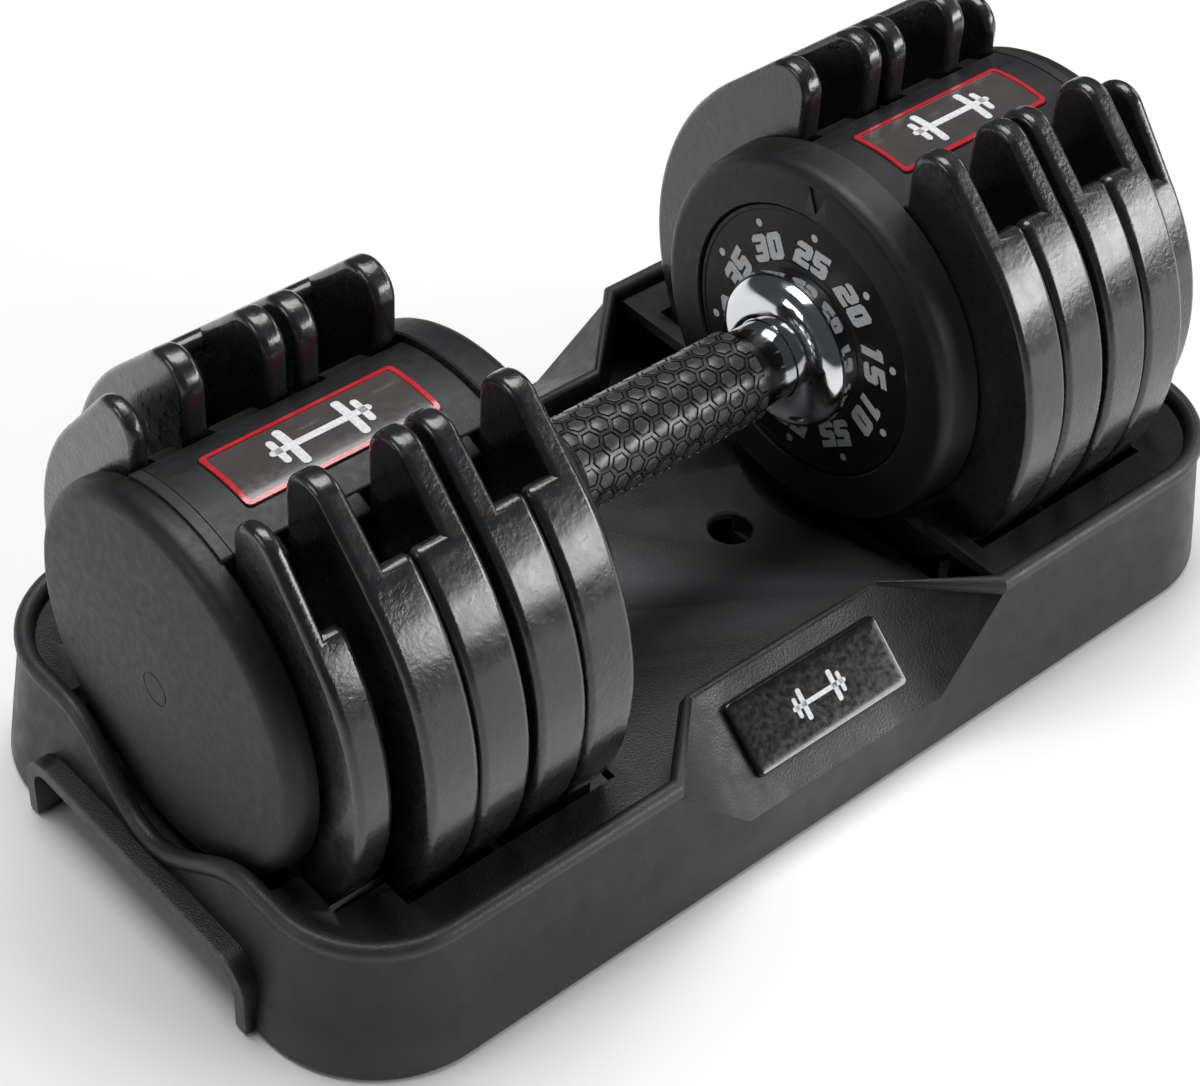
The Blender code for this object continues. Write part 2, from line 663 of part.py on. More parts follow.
def detent_plunger(name, mat, at):
    """The spring-loaded pin that makes each setting click; it presses on the lock wheel's back."""
    x0 = LOCK_X1 + GAP
    x1 = FLANGE_X0 + PLUNGER_DEPTH - GAP
    profile = [(x0, 0), (x0, PLUNGER_R * 0.4), (x0 + 1.0, PLUNGER_R), (x1, PLUNGER_R), (x1, 0)]
    return turned(name, profile, ROUND_SMALL, mat, (at[0], at[1], at[2] + PLUNGER_UP))


def end_nut(name, mat, at):
    piece = prism(name, arc((0, 0), NUT_R, 0, 300, 5), NUT_X, NUT_X + NUT_THICK, mat, at)
    return cut(piece, rod("bore", SEAT_R, NUT_X - THROUGH, NUT_X + NUT_THICK + THROUGH, ROUND_SMALL, at=at))


def head_plates(mat, at):
    faces = (DISC_A, DISC_A + DISC_WEB, DISC_B, DISC_B + DISC_WEB)
    sides = (-1, 1, -1, 1)
    plates = [plate(f"right_plate_{number}", span, PLATE_R, TIP_Z, ARM, side, face, mat, at)
              for number, span, side, face in zip((5, 4, 3, 2), (P5, P4, P3, P2), sides, faces)]
    plates.append(plate("right_plate_1", P1, SMALL_R, SMALL_TIP_Z, SMALL_ARM, 1, DISC_C + DISC_WEB, mat, at))
    return plates


def head_selectors(mat, at):
    """Disc a carries plates 5 and 4, disc b plates 3 and 2, disc c plate 1."""
    odd = [(setting, setting) for setting in range(1, MARKS, 2)]
    discs = []
    for name, x0, bay, inner_runs, outer_runs in (("right_selector_a", DISC_A, BAY_A, [(2, 9)], [(4, 9)]),
                                                  ("right_selector_b", DISC_B, BAY_B, [(6, 9)], [(8, 9)]),
                                                  ("right_selector_c", DISC_C, BAY_C, [], odd)):
        reach_in = x0 - bay[0] - LIP_TIP
        reach_out = bay[1] - x0 - DISC_WEB - LIP_TIP
        discs.append(selector(name, x0, inner_runs, outer_runs, reach_in, reach_out, mat, at))
    return discs


def head_fasteners(mat, at):
    stops = [(TUBE_END, DISC_A), (DISC_A + DISC_WEB, DISC_B), (DISC_B + DISC_WEB, DISC_C),
             (DISC_C + DISC_WEB, HOUSING_X1)]
    pieces = [sleeve(f"right_spacer_{letter}", SEAT_R, JOURNAL_R, low + GAP, high - GAP, ROUND_SMALL, mat, at)
              for letter, (low, high) in zip("abcd", stops)]
    pieces.append(sleeve("right_end_washer", SEAT_R, WASHER_R, WASHER_X, WASHER_X + WASHER_THICK,
                         ROUND_SMALL, mat, at))
    pieces.append(end_nut("right_end_nut", mat, at))
    return pieces


def top_badge(name, mat, at):
    seat = SADDLE_R - BADGE_INSET + GAP
    return badge_solid(name, FLANGE_X1 + BADGE_MARGIN + GAP, HOUSING_X1 - BADGE_MARGIN - GAP, BADGE_HALF,
                       seat, seat + BADGE_THICK, mat, at)


def right_head(mats, at):
    """Every piece of the +X head."""
    pieces = [
        head_housing("right_housing", mats["shell"], at),
        end_cap("right_end_cap", mats["shell"], at),
        inner_cover("right_inner_cover", mats["shell"], at),
        top_badge("right_top_badge", mats["badge"], at),
        dial("right_dial", mats["dial"], at),
        collar("right_collar", mats["chrome"], at),
        lock_wheel("right_lock_wheel", mats["steel"], at),
        lock_slider("right_lock_slider", mats["steel"], at),
        lock_spring("right_lock_spring", mats["steel"], at),
        detent_plunger("right_detent_plunger", mats["steel"], at),
    ]
    return pieces + head_plates(mats["iron"], at) + head_selectors(mats["steel"], at) \
        + head_fasteners(mats["steel"], at)


# --- Tray --------------------------------------------------------------------------------------

def rim_stations():
    """Stations once round the tray: base point, outward direction, and what the rim does there."""
    flat_x = TRAY_HALF_X - TRAY_CORNER
    flat_y = TRAY_HALF_Y - TRAY_CORNER
    stations = []
    pad_xs = [PAD_HALF_TOP + PAD_FLANK, PAD_HALF_TOP, 0.0]
    front_x = [-flat_x, -(flat_x + pad_xs[0]) / 2] + [-x for x in pad_xs[:2]] + [0.0]
    front_x += [pad_xs[1], pad_xs[0], (flat_x + pad_xs[0]) / 2, flat_x]
    for x in front_x:
        stations.append(((x, -TRAY_HALF_Y), (0.0, -1.0)))
    corner_steps = 7
    for i in range(1, corner_steps):
        angle = math.radians(-90 + 90 * i / corner_steps)
        out = (math.cos(angle), math.sin(angle))
        stations.append(((flat_x + TRAY_CORNER * out[0], -flat_y + TRAY_CORNER * out[1]), out))
    dip_steps = 8
    stations.append(((TRAY_HALF_X, -flat_y), (1.0, 0.0)))
    for i in range(dip_steps + 1):
        y = -DIP_HALF + 2 * DIP_HALF * i / dip_steps
        stations.append(((TRAY_HALF_X, y), (1.0, 0.0)))
    stations.append(((TRAY_HALF_X, flat_y), (1.0, 0.0)))
    for i in range(1, corner_steps):
        angle = math.radians(90 * i / corner_steps)
        out = (math.cos(angle), math.sin(angle))
        stations.append(((flat_x + TRAY_CORNER * out[0], flat_y + TRAY_CORNER * out[1]), out))
    for x in reversed(front_x):
        stations.append(((x, TRAY_HALF_Y), (0.0, 1.0)))
    far_end = [((-x, y), (-out[0], out[1])) for (x, y), out in stations
               if x > flat_x + 0.01]
    return stations + list(reversed(far_end))


def tray_loops():
    """The loops of the tray's skin, from the foot of the outer wall over the rim to the floor."""
    low_share = (PAD_LOW_Z - TRAY_LIFT) / (TRAY_TALL - TRAY_LIFT)
    loops = [[] for _ in range(9)]
    for (x, y), (out_x, out_y) in rim_stations():
        on_end = abs(out_x) > 0.999
        on_side = abs(out_y) > 0.999
        in_pad = on_side and abs(x) < PAD_HALF_TOP + 0.01
        top = TRAY_TALL
        if on_end and abs(y) < DIP_HALF:
            top -= DIP * (0.5 + 0.5 * math.cos(math.pi * y / DIP_HALF))

        def at(inset, z, wide=1.0, x=x, y=y, out_x=out_x, out_y=out_y):
            return (x * wide - out_x * inset, y - out_y * inset, z)

        low_wide = PAD_HALF_LOW / PAD_HALF_TOP if in_pad else 1.0
        loops[0].append(at(0, TRAY_LIFT, low_wide))
        loops[1].append(at(DRAFT * low_share, PAD_LOW_Z, low_wide))
        if in_pad:
            loops[2].append(at(PAD_INSET - PAD_EDGE, PAD_TOP_Z - PAD_EDGE_DROP))
            loops[3].append(at(PAD_INSET - 0.8, PAD_TOP_Z - 0.5))
            loops[4].append(at(PAD_INSET, PAD_TOP_Z - 0.15))
            loops[5].append(at(PAD_INSET + 1.0, PAD_TOP_Z))
            loops[6].append(at(PAD_INSET + 2.4, PAD_TOP_Z - 0.4))
            loops[7].append(at(PAD_INSET + 3.2, PAD_TOP_Z - 2.0))
            loops[8].append(at(PAD_INSET + 3.4, TRAY_LIFT + FLOOR))
        else:
            share = (top - TRAY_LIFT) / (TRAY_TALL - TRAY_LIFT)
            inset = DRAFT * share
            loops[2].append(at(inset - 0.1, top - 6.5))
            loops[3].append(at(inset - BEAD, top - 4.5))
            loops[4].append(at(inset - BEAD + 0.6, top - 1.3))
            loops[5].append(at(inset + 1.2, top))
            loops[6].append(at(inset + WALL + 0.9, top - 1.0))
            loops[7].append(at(inset + WALL + 1.9, top - 3.4))
            loops[8].append(at(DRAFT + WALL + 5.0, TRAY_LIFT + FLOOR))
    return loops


def tray_shell(name, mat):
    loops = tray_loops()
    count = len(loops[0])
    points = [point for loop in loops for point in loop]
    faces = [tuple(range(count)), tuple(range(len(points) - 1, len(points) - count - 1, -1))]
    for k in range(len(loops) - 1):
        for i in range(count):
            j = (i + 1) % count
            faces.append((k * count + i, k * count + j, (k + 1) * count + j, (k + 1) * count + i))
    return solid(name, points, faces, mat)


def arch_outline(half, top, corner, low):
    points = [(-half, low)]
    points += arc((-half + corner, top - corner), corner, 180, 90, 4)
    points += arc((half - corner, top - corner), corner, 90, 0, 4)
    points.append((half, low))
    return points


def cradle_rib(radius, y_low, y_high, x0, x1):
    """A rib whose top follows the plates' rims."""
    base = TRAY_LIFT + FLOOR / 2
    steps = 3
    tops = []
    for i in range(steps + 1):
        y = y_high + (y_low - y_high) * i / steps
        tops.append((y, AXIS_Z - math.sqrt((radius + GAP) ** 2 - y * y)))
    return prism("rib", [(y_low, base), (y_high, base)] + tops, x0, x1)


def pad_slope_inset(z):
    """How far a pad's slope stands in from the rim at a height."""
    low = DRAFT * (PAD_LOW_Z - TRAY_LIFT) / (TRAY_TALL - TRAY_LIFT)
    share = (z - PAD_LOW_Z) / (PAD_TOP_Z - PAD_EDGE_DROP - PAD_LOW_Z)
    return low + share * (PAD_INSET - PAD_EDGE - low)


def add_hand_floor(piece):
    """The raised floor under the hand, hollow underneath, between the two pads."""
    inside_y = TRAY_HALF_Y - max(DRAFT, pad_slope_inset(HAND_FLOOR_Z)) - 2 * WALL
    join(piece, box("hand_floor", (-HAND_FLOOR_HALF, -inside_y, TRAY_LIFT + FLOOR / 2),
                    (HAND_FLOOR_HALF, inside_y, HAND_FLOOR_Z)))
    under = HAND_FLOOR_Z - WALL
    hollow_x = POCKET_X0 - WALL
    half_y = HAND_HOLLOW_HALF
    cut(piece, box("hand_hollow", (-hollow_x, -half_y, -THROUGH), (hollow_x, half_y, under)))
    outer_y = TRAY_HALF_Y - 2 * WALL
    crest_y = TRAY_HALF_Y - PAD_INSET
    for side in (-1, 1):
        slope = [(side * half_y, -THROUGH), (side * outer_y, -THROUGH),
                 (side * outer_y, PAD_LOW_Z - 2 * WALL),
                 (side * crest_y, PAD_TOP_Z - 3 * WALL), (side * crest_y, under), (side * half_y, under)]
        cut(piece, prism("pad_hollow", slope, -PAD_HALF_TOP + WALL, PAD_HALF_TOP - WALL))


def add_hand_hold(piece, side):
    """The shelf under an end cap, and the hand hold with its lip below the shelf."""
    shelf_x = (P1[1] + SHELF_FROM_PLATE, TRAY_HALF_X - DRAFT - OVERLAP)
    shelf_half = TRAY_HALF_Y - TRAY_CORNER + SHELF_WIDER
    low, high = sorted((side * shelf_x[0], side * shelf_x[1]))
    join(piece, box("shelf", (low, -shelf_half, TRAY_LIFT + FLOOR / 2), (high, shelf_half, SHELF_Z)))
    low, high = sorted((side * (TRAY_HALF_X - DRAFT), side * (TRAY_HALF_X + LIP_PROUD)))
    lip = arch_outline(HOLD_HALF + LIP_WIDE, HOLD_TALL + LIP_WIDE, HOLD_CORNER + LIP_WIDE, TRAY_LIFT)
    join(piece, prism("lip", lip, low, high))
    hold = arch_outline(HOLD_HALF, HOLD_TALL, HOLD_CORNER, -THROUGH)
    low, high = sorted((side * (shelf_x[0] + WALL), side * (TRAY_HALF_X + LIP_PROUD + THROUGH)))
    cut(piece, prism("hold", hold, low, high))


def cut_pocket(piece, side):
    """The cone that clears an inner cover, and the round hole beside it."""
    shallow = AXIS_Z - HAND_FLOOR_Z - POCKET_SHALLOW
    middle = AXIS_Z - HAND_FLOOR_Z + POCKET_MIDDLE
    deep = AXIS_Z - HAND_FLOOR_Z + POCKET_DEEP
    cone = [(side * POCKET_X0, 0), (side * POCKET_X0, shallow), (side * (POCKET_X0 + POCKET_LEVEL), middle),
            (side * POCKET_X1, deep), (side * POCKET_X1, 0)]
    cut(piece, turned("pocket", cone, ROUND_BIG, at=(0, 0, AXIS_Z)))
    below = HAND_FLOOR_Z - WALL - THROUGH
    above = HAND_FLOOR_Z + THROUGH
    cut(piece, upright_rod("hole", FLOOR_HOLE_R, below, above, (side * FLOOR_HOLE_X, 0, 0)))


def add_cradle(piece, side):
    """Ribs under the plates, and a divider in each gap between them."""
    spans = ((PLATE_R, HAND_FLOOR_HALF - OVERLAP, P2[1]),
             (SMALL_R, P2[1] + OVERLAP, P1[1] + SHELF_FROM_PLATE + OVERLAP))
    for near in CRADLE_YS:
        for hand in (-1, 1):
            y_low, y_high = sorted((hand * near, hand * (near + CRADLE_THICK)))
            for radius, start, end in spans:
                x_low, x_high = sorted((side * start, side * end))
                join(piece, cradle_rib(radius, y_low, y_high, x_low, x_high))
    for start, end, ease in ((P4[1], P3[0], PLATE_SEAT), (P2[1], P1[0], PLATE_SEAT + SMALL_DIVIDER_EASE)):
        x_low, x_high = sorted((side * (start + ease), side * (end - ease)))
        join(piece, box("divider", (x_low, -DIVIDER_HALF, TRAY_LIFT + FLOOR / 2),
                        (x_high, DIVIDER_HALF, DIVIDER_Z)))


def ledge_block():
    outline = [(x - out_x * LEDGE_INSET, y - out_y * LEDGE_INSET) for (x, y), (out_x, out_y) in rim_stations()]
    count = len(outline)
    top = TRAY_TALL - LEDGE_BELOW_RIM
    points = [(x, y, z) for z in (top - LEDGE_THICK, top) for x, y in outline]
    faces = [tuple(range(count)), tuple(range(2 * count - 1, count - 1, -1))]
    faces += [(i, (i + 1) % count, count + (i + 1) % count, count + i) for i in range(count)]
    return solid("ledge", points, faces)


def add_ledge(piece):
    """The ledge below the rim, with a slot that follows the plates at each end."""
    ledge = ledge_block()
    cut(ledge, box("hand_room", (-POCKET_X1, -TRAY_HALF_Y, 0), (POCKET_X1, TRAY_HALF_Y, AXIS_Z)))
    cover_r = COVER_R + LEDGE_EASE
    plate_r = PLATE_R + LEDGE_EASE
    small_r = SMALL_R + LEDGE_EASE
    cap_r = CAP_R + LEDGE_EASE_CAP
    steps = [(POCKET_X0, 0), (POCKET_X0, cover_r), (HAND_FLOOR_HALF, cover_r), (HAND_FLOOR_HALF, plate_r),
             (P2[1] + LEDGE_PAST_PLATE, plate_r), (P2[1] + LEDGE_PAST_PLATE, small_r),
             (P1[1] + LEDGE_PAST_PLATE, small_r), (P1[1] + LEDGE_PAST_PLATE, cap_r),
             (TRAY_HALF_X + THROUGH, cap_r), (TRAY_HALF_X + THROUGH, 0)]
    for side in (-1, 1):
        cut(ledge, turned("slots", [(side * x, r) for x, r in steps], ROUND_BIG, at=(0, 0, AXIS_Z)))
    join(piece, ledge)


def tray_body(name, mat):
    piece = tray_shell(name, mat)
    add_hand_floor(piece)
    add_ledge(piece)
    for side in (-1, 1):
        add_hand_hold(piece, side)
        cut_pocket(piece, side)
        add_cradle(piece, side)
    for x, y in foot_places():
        cut(piece, upright_rod("foot_pocket", FOOT_R + GAP, -THROUGH, TRAY_LIFT + FOOT_RAISE, (x, y, 0)))
    return piece


def upright_rod(name, radius, low, high, at, mat=None):
    """A round solid along Z."""
    piece = rod(name, radius, low, high, ROUND_SMALL, mat, at)
    for vert in piece.data.vertices:
        x, y, z = vert.co
        vert.co = (-z, y, x)
    return piece


def foot_places():
    x = TRAY_HALF_X - TRAY_CORNER
    y = TRAY_HALF_Y - FOOT_INSET
    return [(-x, -y), (x, -y), (-x, y), (x, y)]


def pad_badge(name, mat):
    """The domed badge on the front pad."""
    low_share = (PAD_LOW_Z - TRAY_LIFT) / (TRAY_TALL - TRAY_LIFT)
    low = (-(TRAY_HALF_Y - DRAFT * low_share), PAD_LOW_Z)
    high = (-(TRAY_HALF_Y - PAD_INSET + PAD_EDGE), PAD_TOP_Z - PAD_EDGE_DROP)
    middle = ((low[0] + high[0]) / 2, (low[1] + high[1]) / 2)
    length = math.hypot(high[0] - low[0], high[1] - low[1])
    along = ((high[0] - low[0]) / length, (high[1] - low[1]) / length)
    out = (-along[1], along[0])
    points = []
    for lift, shrink in ((GAP, 0.0), (PAD_BADGE_THICK / 2, 0.0), (PAD_BADGE_THICK, PAD_BADGE_ROUND)):
        for side_x, side_up in ((-1, -1), (1, -1), (1, 1), (-1, 1)):
            up = side_up * (PAD_BADGE_HALF_UP - shrink)
            points.append((side_x * (PAD_BADGE_HALF_X - shrink), middle[0] + along[0] * up + out[0] * lift,
                           middle[1] + along[1] * up + out[1] * lift))
    faces = [(3, 2, 1, 0), (8, 9, 10, 11)]
    for k in (0, 4):
        faces += [(k + i, k + (i + 1) % 4, k + 4 + (i + 1) % 4, k + 4 + i) for i in range(4)]
    return solid(name, points, faces, mat)


# --- Assembly ----------------------------------------------------------------------------------

def build():
    clear_scene()
    mats = {
        "iron": material("cast_iron_enamel", (0.035, 0.036, 0.038), 0.42, 0.25),
        "shell": material("matte_black_shell", (0.022, 0.022, 0.024), 0.62),
        "tray": material("grained_black_tray", (0.02, 0.02, 0.022), 0.66),
        "dial": material("dial_black", (0.012, 0.012, 0.013), 0.5),
        "badge": material("badge_gloss", (0.01, 0.01, 0.012), 0.12),
        "chrome": material("chrome", (0.85, 0.86, 0.88), 0.08, 1.0),
        "steel": material("zinc_steel", (0.5, 0.5, 0.52), 0.35, 1.0),
        "grip": material("grip_rubber", (0.02, 0.02, 0.02), 0.4),
        "foot": material("foot_rubber", (0.03, 0.03, 0.03), 0.85),
    }
    tray_body("tray_body", mats["tray"])
    pad_badge("tray_badge", mats["badge"])
    names = ("foot_front_left", "foot_front_right", "foot_rear_left", "foot_rear_right")
    for name, (x, y) in zip(names, foot_places()):
        upright_rod(name, FOOT_R, 0, FOOT_THICK, (x, y, 0), mats["foot"])

    axis = bpy.data.objects.new("handle_axis", None)
    bpy.context.scene.collection.objects.link(axis)
    at = (0.0, 0.0, AXIS_Z)
    axis.location = tuple(value * MM for value in at)
    dumbbell = right_head(mats, at)
    dumbbell += [mirrored(piece, piece.name.replace("right_", "left_")) for piece in dumbbell]
    dumbbell.append(rod("shaft", SHAFT_R, -SHAFT_END, SHAFT_END, ROUND_SMALL, mats["steel"], at))
    dumbbell.append(sleeve("handle_tube", TUBE_BORE_R, TUBE_R, -TUBE_END, TUBE_END, ROUND_MID,
                           mats["chrome"], at))
    dumbbell.append(grip("grip", mats["grip"], at))
    bpy.context.view_layer.update()
    for piece in dumbbell:
        piece.parent = axis
        piece.matrix_parent_inverse = axis.matrix_world.inverted()


build()
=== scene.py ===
"""The looks of an adjustable dumbbell in its storage tray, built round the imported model.

Sizes are millimetres and become metres when a mesh is made.  +X runs along the handle, the front
of the tray faces -Y and +Z is up.  Each head is made once at +X and mirrored to -X.
"""
import json
from math import acos, atan2, ceil, cos, degrees, hypot, pi, radians, sin, sqrt, tan

import bmesh
import bpy
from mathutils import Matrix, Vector


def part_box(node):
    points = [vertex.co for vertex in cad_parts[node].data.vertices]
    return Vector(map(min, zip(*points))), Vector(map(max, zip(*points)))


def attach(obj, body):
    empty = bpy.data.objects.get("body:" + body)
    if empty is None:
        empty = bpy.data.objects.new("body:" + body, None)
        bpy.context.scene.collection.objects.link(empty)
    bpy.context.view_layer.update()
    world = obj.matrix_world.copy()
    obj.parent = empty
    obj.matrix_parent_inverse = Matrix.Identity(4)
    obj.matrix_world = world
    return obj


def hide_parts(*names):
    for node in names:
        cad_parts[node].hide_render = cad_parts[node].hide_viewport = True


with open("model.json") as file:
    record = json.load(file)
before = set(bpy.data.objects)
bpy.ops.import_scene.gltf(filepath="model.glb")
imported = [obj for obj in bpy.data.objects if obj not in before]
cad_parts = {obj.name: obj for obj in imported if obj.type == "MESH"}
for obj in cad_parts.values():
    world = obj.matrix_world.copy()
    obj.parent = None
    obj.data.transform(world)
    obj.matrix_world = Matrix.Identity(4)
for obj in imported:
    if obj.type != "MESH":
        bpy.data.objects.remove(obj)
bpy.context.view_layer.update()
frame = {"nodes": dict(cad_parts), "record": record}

MM = 0.001
MERGE = 0.000002       # metres; printed shapes' points this close are one
GAP = 0.3              # between faces that touch
THROUGH = 5.0          # how far a cutting shape runs past the face it opens
OVERLAP = 1.0          # how far two shapes that become one piece reach into each other


def span(node, axis):
    """A CAD node's lowest and highest place along an axis."""
    low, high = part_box(node)
    return low[axis] / MM, high[axis] / MM


# --- Places and sizes that the frame gives ---
JOINTS = {joint["name"]: joint for joint in frame["record"]["behaviour"]["joints"]}
AXIS_Z = JOINTS["handle_turn"]["pos_m"][2] / MM
PLATE_X = {number: span(f"right_plate_{number}", 0) for number in range(1, 6)}
PLATE_R = AXIS_Z - span("right_plate_5", 2)[0]
SMALL_R = AXIS_Z - span("right_plate_1", 2)[0]
GRIP_HALF = span("grip", 0)[1]
COVER_X, COVER_END = span("right_inner_cover", 0)
HOUSING_X0, HOUSING_X1 = span("right_housing", 0)
CAP_END = span("right_end_cap", 0)[1]
DIAL_X0 = span("right_dial", 0)[0]
DIAL_X2 = span("right_dial", 0)[1]
COLLAR_X0, COLLAR_X1 = span("right_collar", 0)
TUBE_END = span("handle_tube", 0)[1]
BADGE_X = span("right_top_badge", 0)
LOCK_X = span("right_lock_slider", 0)
TRAY_HALF_Y = span("tray_body", 1)[1]
TRAY_LIP_X = span("tray_body", 0)[1]
TRAY_LIFT, TRAY_TALL = span("tray_body", 2)

# --- Heads ---
SLOT_HALF = 24.4
TIP_R = 10.7
TIP_Z = span("right_plate_5", 2)[1] - AXIS_Z - TIP_R
SMALL_TIP_Z = span("right_plate_1", 2)[1] - AXIS_Z - TIP_R
ARM_SHARE = 0.47       # part of a plate's thickness that its arms keep
DISC_R = 52.9
RECESS_HALF = DISC_R + 2.4
SHOULDER_ROUND = 4.0   # corner where a recess meets the rim
EDGE_ROUND = 2.7       # rounding along every edge of a plate
SKIN = 0.05            # by which a plate's thin layer lies under its full-thickness layer
LUG_HALF = 5.0
LUG_LOW = -48.2
LUG_HIGH = -42.2
LUG_SHARE = 0.6        # part of a recess's depth that its lug takes
SADDLE_R = 68.3
SADDLE_HALF = SLOT_HALF - 0.8
KEEL_Z = SLOT_HALF - 2.4
BRIDGE_HALF = SLOT_HALF + 5.6
BRIDGE_INNER_R = DISC_R + 3.6
BRIDGE_ROUND = 1.2
BRIDGE_LOWER = 0.5
BRIDGE_EASE = 0.8
RIB_EASE = 0.4
BAY_R = DISC_R + 1.7
JOURNAL_R = 11.6
BAY_STEPS = 62         # counts of steps that put no corner of a round cut in the middle plane
JOURNAL_STEPS = 34
FLANGE_STEPS = 94
GATE_MARK_STEPS = 37
FLANGE_X = COVER_END + GAP
RIB_WIDER = 3.0
BAY_EASE = 0.9
COVER_R = 71.0
COVER_WALL = 3.2
COVER_ROUND = 5.0
DIAL_R = 51.6
DIAL_THICK = 3.4
DIAL_EASE = 0.6
TUBE_R = 14.8
TUBE_BORE_R = 11.0
COLLAR_R = (span("right_collar", 1)[1] - span("right_collar", 1)[0]) / 2
COLLAR_SKIRT = 6.7     # from the collar's rim to its end at the dial
COLLAR_RIM = 1.4
GRIP_R = 17.0
CAP_R = 67.0
CAP_X0 = HOUSING_X1 + 3.2
CAP_ROUND = 6.5
CAP_DOME = 1.6
CAP_CAVITY_R = 20.0
GATE_MARK_R = 6.0
GATE_MARK_WIDE = 0.5
GATE_MARK_DEEP = 0.25
BADGE_HALF = 13.1
BADGE_THICK = 1.4
BADGE_INSET = 0.8
BADGE_CORNER = 2.0
BORDER = 1.7
BORDER_PROUD = 0.35
MARKS = 10
SECTOR = 360 / MARKS
DOT_RING = 44.8
NUMBER_RING = 35.6
DIGIT_WIDE = 7.6
DIGIT_TALL = 10.2
DIGIT_BAR = 2.7
DIGIT_STEM = 3.1
DIGIT_CHAMFER = 1.3
DIGIT_SPACE = 0.7
DIGIT_LEAN = 0.18
DOT_R = 1.5
POINTER_RING = (55.0, 65.0)
POINTER_HALF = 4.4

# --- Tray ---
LIP_PROUD = 3.4
TRAY_HALF_X = TRAY_LIP_X - LIP_PROUD
TRAY_CORNER = 46.0
DRAFT = 7.0
WALL = 3.2
FLOOR = 2.4
BEAD_OUT = 1.5
BEAD_HALF = 3.3
BEAD_TALL = 3.5
DIP = 22.0
DIP_HALF = 50.0
PAD_HALF_TOP = 43.5
PAD_HALF_LOW = 45.7
PAD_FLANK = 32.0
PAD_INSET = 38.5
PAD_TOP_Z = TRAY_TALL - 3.0
PAD_LOW_Z = 21.5
PAD_ROUND = 2.2
PAD_BADGE = (35.3, 13.6)
HAND_FLOOR_Z = AXIS_Z - COVER_R - 3.6
HAND_FLOOR_HALF = FLANGE_X - 1.8
HAND_HOLLOW_HALF = 60.0
HOLE_R = 8.3
HOLE_X = COVER_X - 25.0
POCKET_X0 = COVER_X - 15.5
POCKET_X1 = COVER_X + 7.0
SHELF_Z = AXIS_Z - CAP_R - 3.1
LEDGE_Z = TRAY_TALL - 5.5
LEDGE_THICK = 4.6
LEDGE_INSET = 9.0      # its edge is inside the side walls
LEDGE_EASE = 2.8       # round the plates
LEDGE_EASE_CAP = 4.0
LEDGE_PAST_PLATE = 1.5
HOLD_HALF = 56.0
HOLD_TALL = SHELF_Z - 2.5
HOLD_CORNER = 8.0
LIP_WIDE = 5.0
CRADLE_YS = (40.0, 68.0)
CRADLE_THICK = 4.0
DIVIDER_Z = AXIS_Z - DISC_R - 3.7
DIVIDER_HALF = 78.0
FOOT_R = 9.0
FOOT_THICK = 2.0
FOOT_RAISE = 1.3

# --- Camera ---
CAMERA_PLACE = (-506.9, -507.5, 704.1)
CAMERA_TURN = (47.53, -2.81, -41.23)
CAMERA_LENS = 83.0
CAMERA_SHIFT = (0.0017, -0.0158)


# --- Mesh helpers ---

def finish_mesh(mesh, angle=32):
    mesh.shade_smooth()
    mesh.set_sharp_from_angle(angle=radians(angle))


def linked(bm, name, angle=32):
    """A new object with the mesh of a bmesh, which is then freed."""
    mesh = bpy.data.meshes.new(name)
    bm.to_mesh(mesh)
    bm.free()
    finish_mesh(mesh, angle)
    obj = bpy.data.objects.new(name, mesh)
    bpy.context.scene.collection.objects.link(obj)
    return obj


def filled(points, faces):
    """A bmesh from points in millimetres."""
    bm = bmesh.new()
    verts = [bm.verts.new((x * MM, y * MM, z * MM)) for x, y, z in points]
    for face in faces:
        bm.faces.new([verts[i] for i in face])
    return bm


def solid(name, points, faces, angle=32):
    """A closed solid from points in millimetres."""
    bm = filled(points, faces)
    bmesh.ops.recalc_face_normals(bm, faces=bm.faces)
    return linked(bm, name, angle)


def arc(center, radius, start, end, steps):
    """Points on a circle, both ends included; angles in degrees."""
    points = []
    for i in range(steps + 1):
        angle = radians(start + (end - start) * i / steps)
        points.append((center[0] + radius * cos(angle), center[1] + radius * sin(angle)))
    return points


def corner(before, at, after, radius, steps=5):
    """The rounded corner at a point of an outline."""
    point = Vector(at)
    u = (Vector(before) - point).normalized()
    v = (Vector(after) - point).normalized()
    half = u.angle(v) / 2
    center = point + (u + v).normalized() * radius / sin(half)
    start = point + u * radius / tan(half) - center
    end = point + v * radius / tan(half) - center
    turn = start.angle_signed(end)
    points = []
    for i in range(steps + 1):
        angle = -turn * i / steps
        x = start.x * cos(angle) - start.y * sin(angle)
        y = start.x * sin(angle) + start.y * cos(angle)
        points.append((center.x + x, center.y + y))
    return points


def rounded(points, radius, steps=4):
    """A closed outline with every corner rounded."""
    result = []
    count = len(points)
    for i in range(count):
        result += corner(points[i - 1], points[i], points[(i + 1) % count], radius, steps)
    return result


def inset(outline, distance):
    """The outline moved inwards by a distance."""
    count = len(outline)
    area = sum(outline[i - 1][0] * outline[i][1] - outline[i][0] * outline[i - 1][1] for i in range(count))
    side = 1 if area > 0 else -1
    moved = []
    for i in range(count):
        a = Vector(outline[i]) - Vector(outline[i - 1])
        b = Vector(outline[(i + 1) % count]) - Vector(outline[i])
        a.normalize()
        b.normalize()
        across = Vector((-(a.y + b.y), a.x + b.x)) * side
        across.normalize()
        share = max(0.4, across.dot(Vector((-a.y, a.x)) * side))
        step = across * distance / share
        moved.append((outline[i][0] + step.x, outline[i][1] + step.y))
    return moved


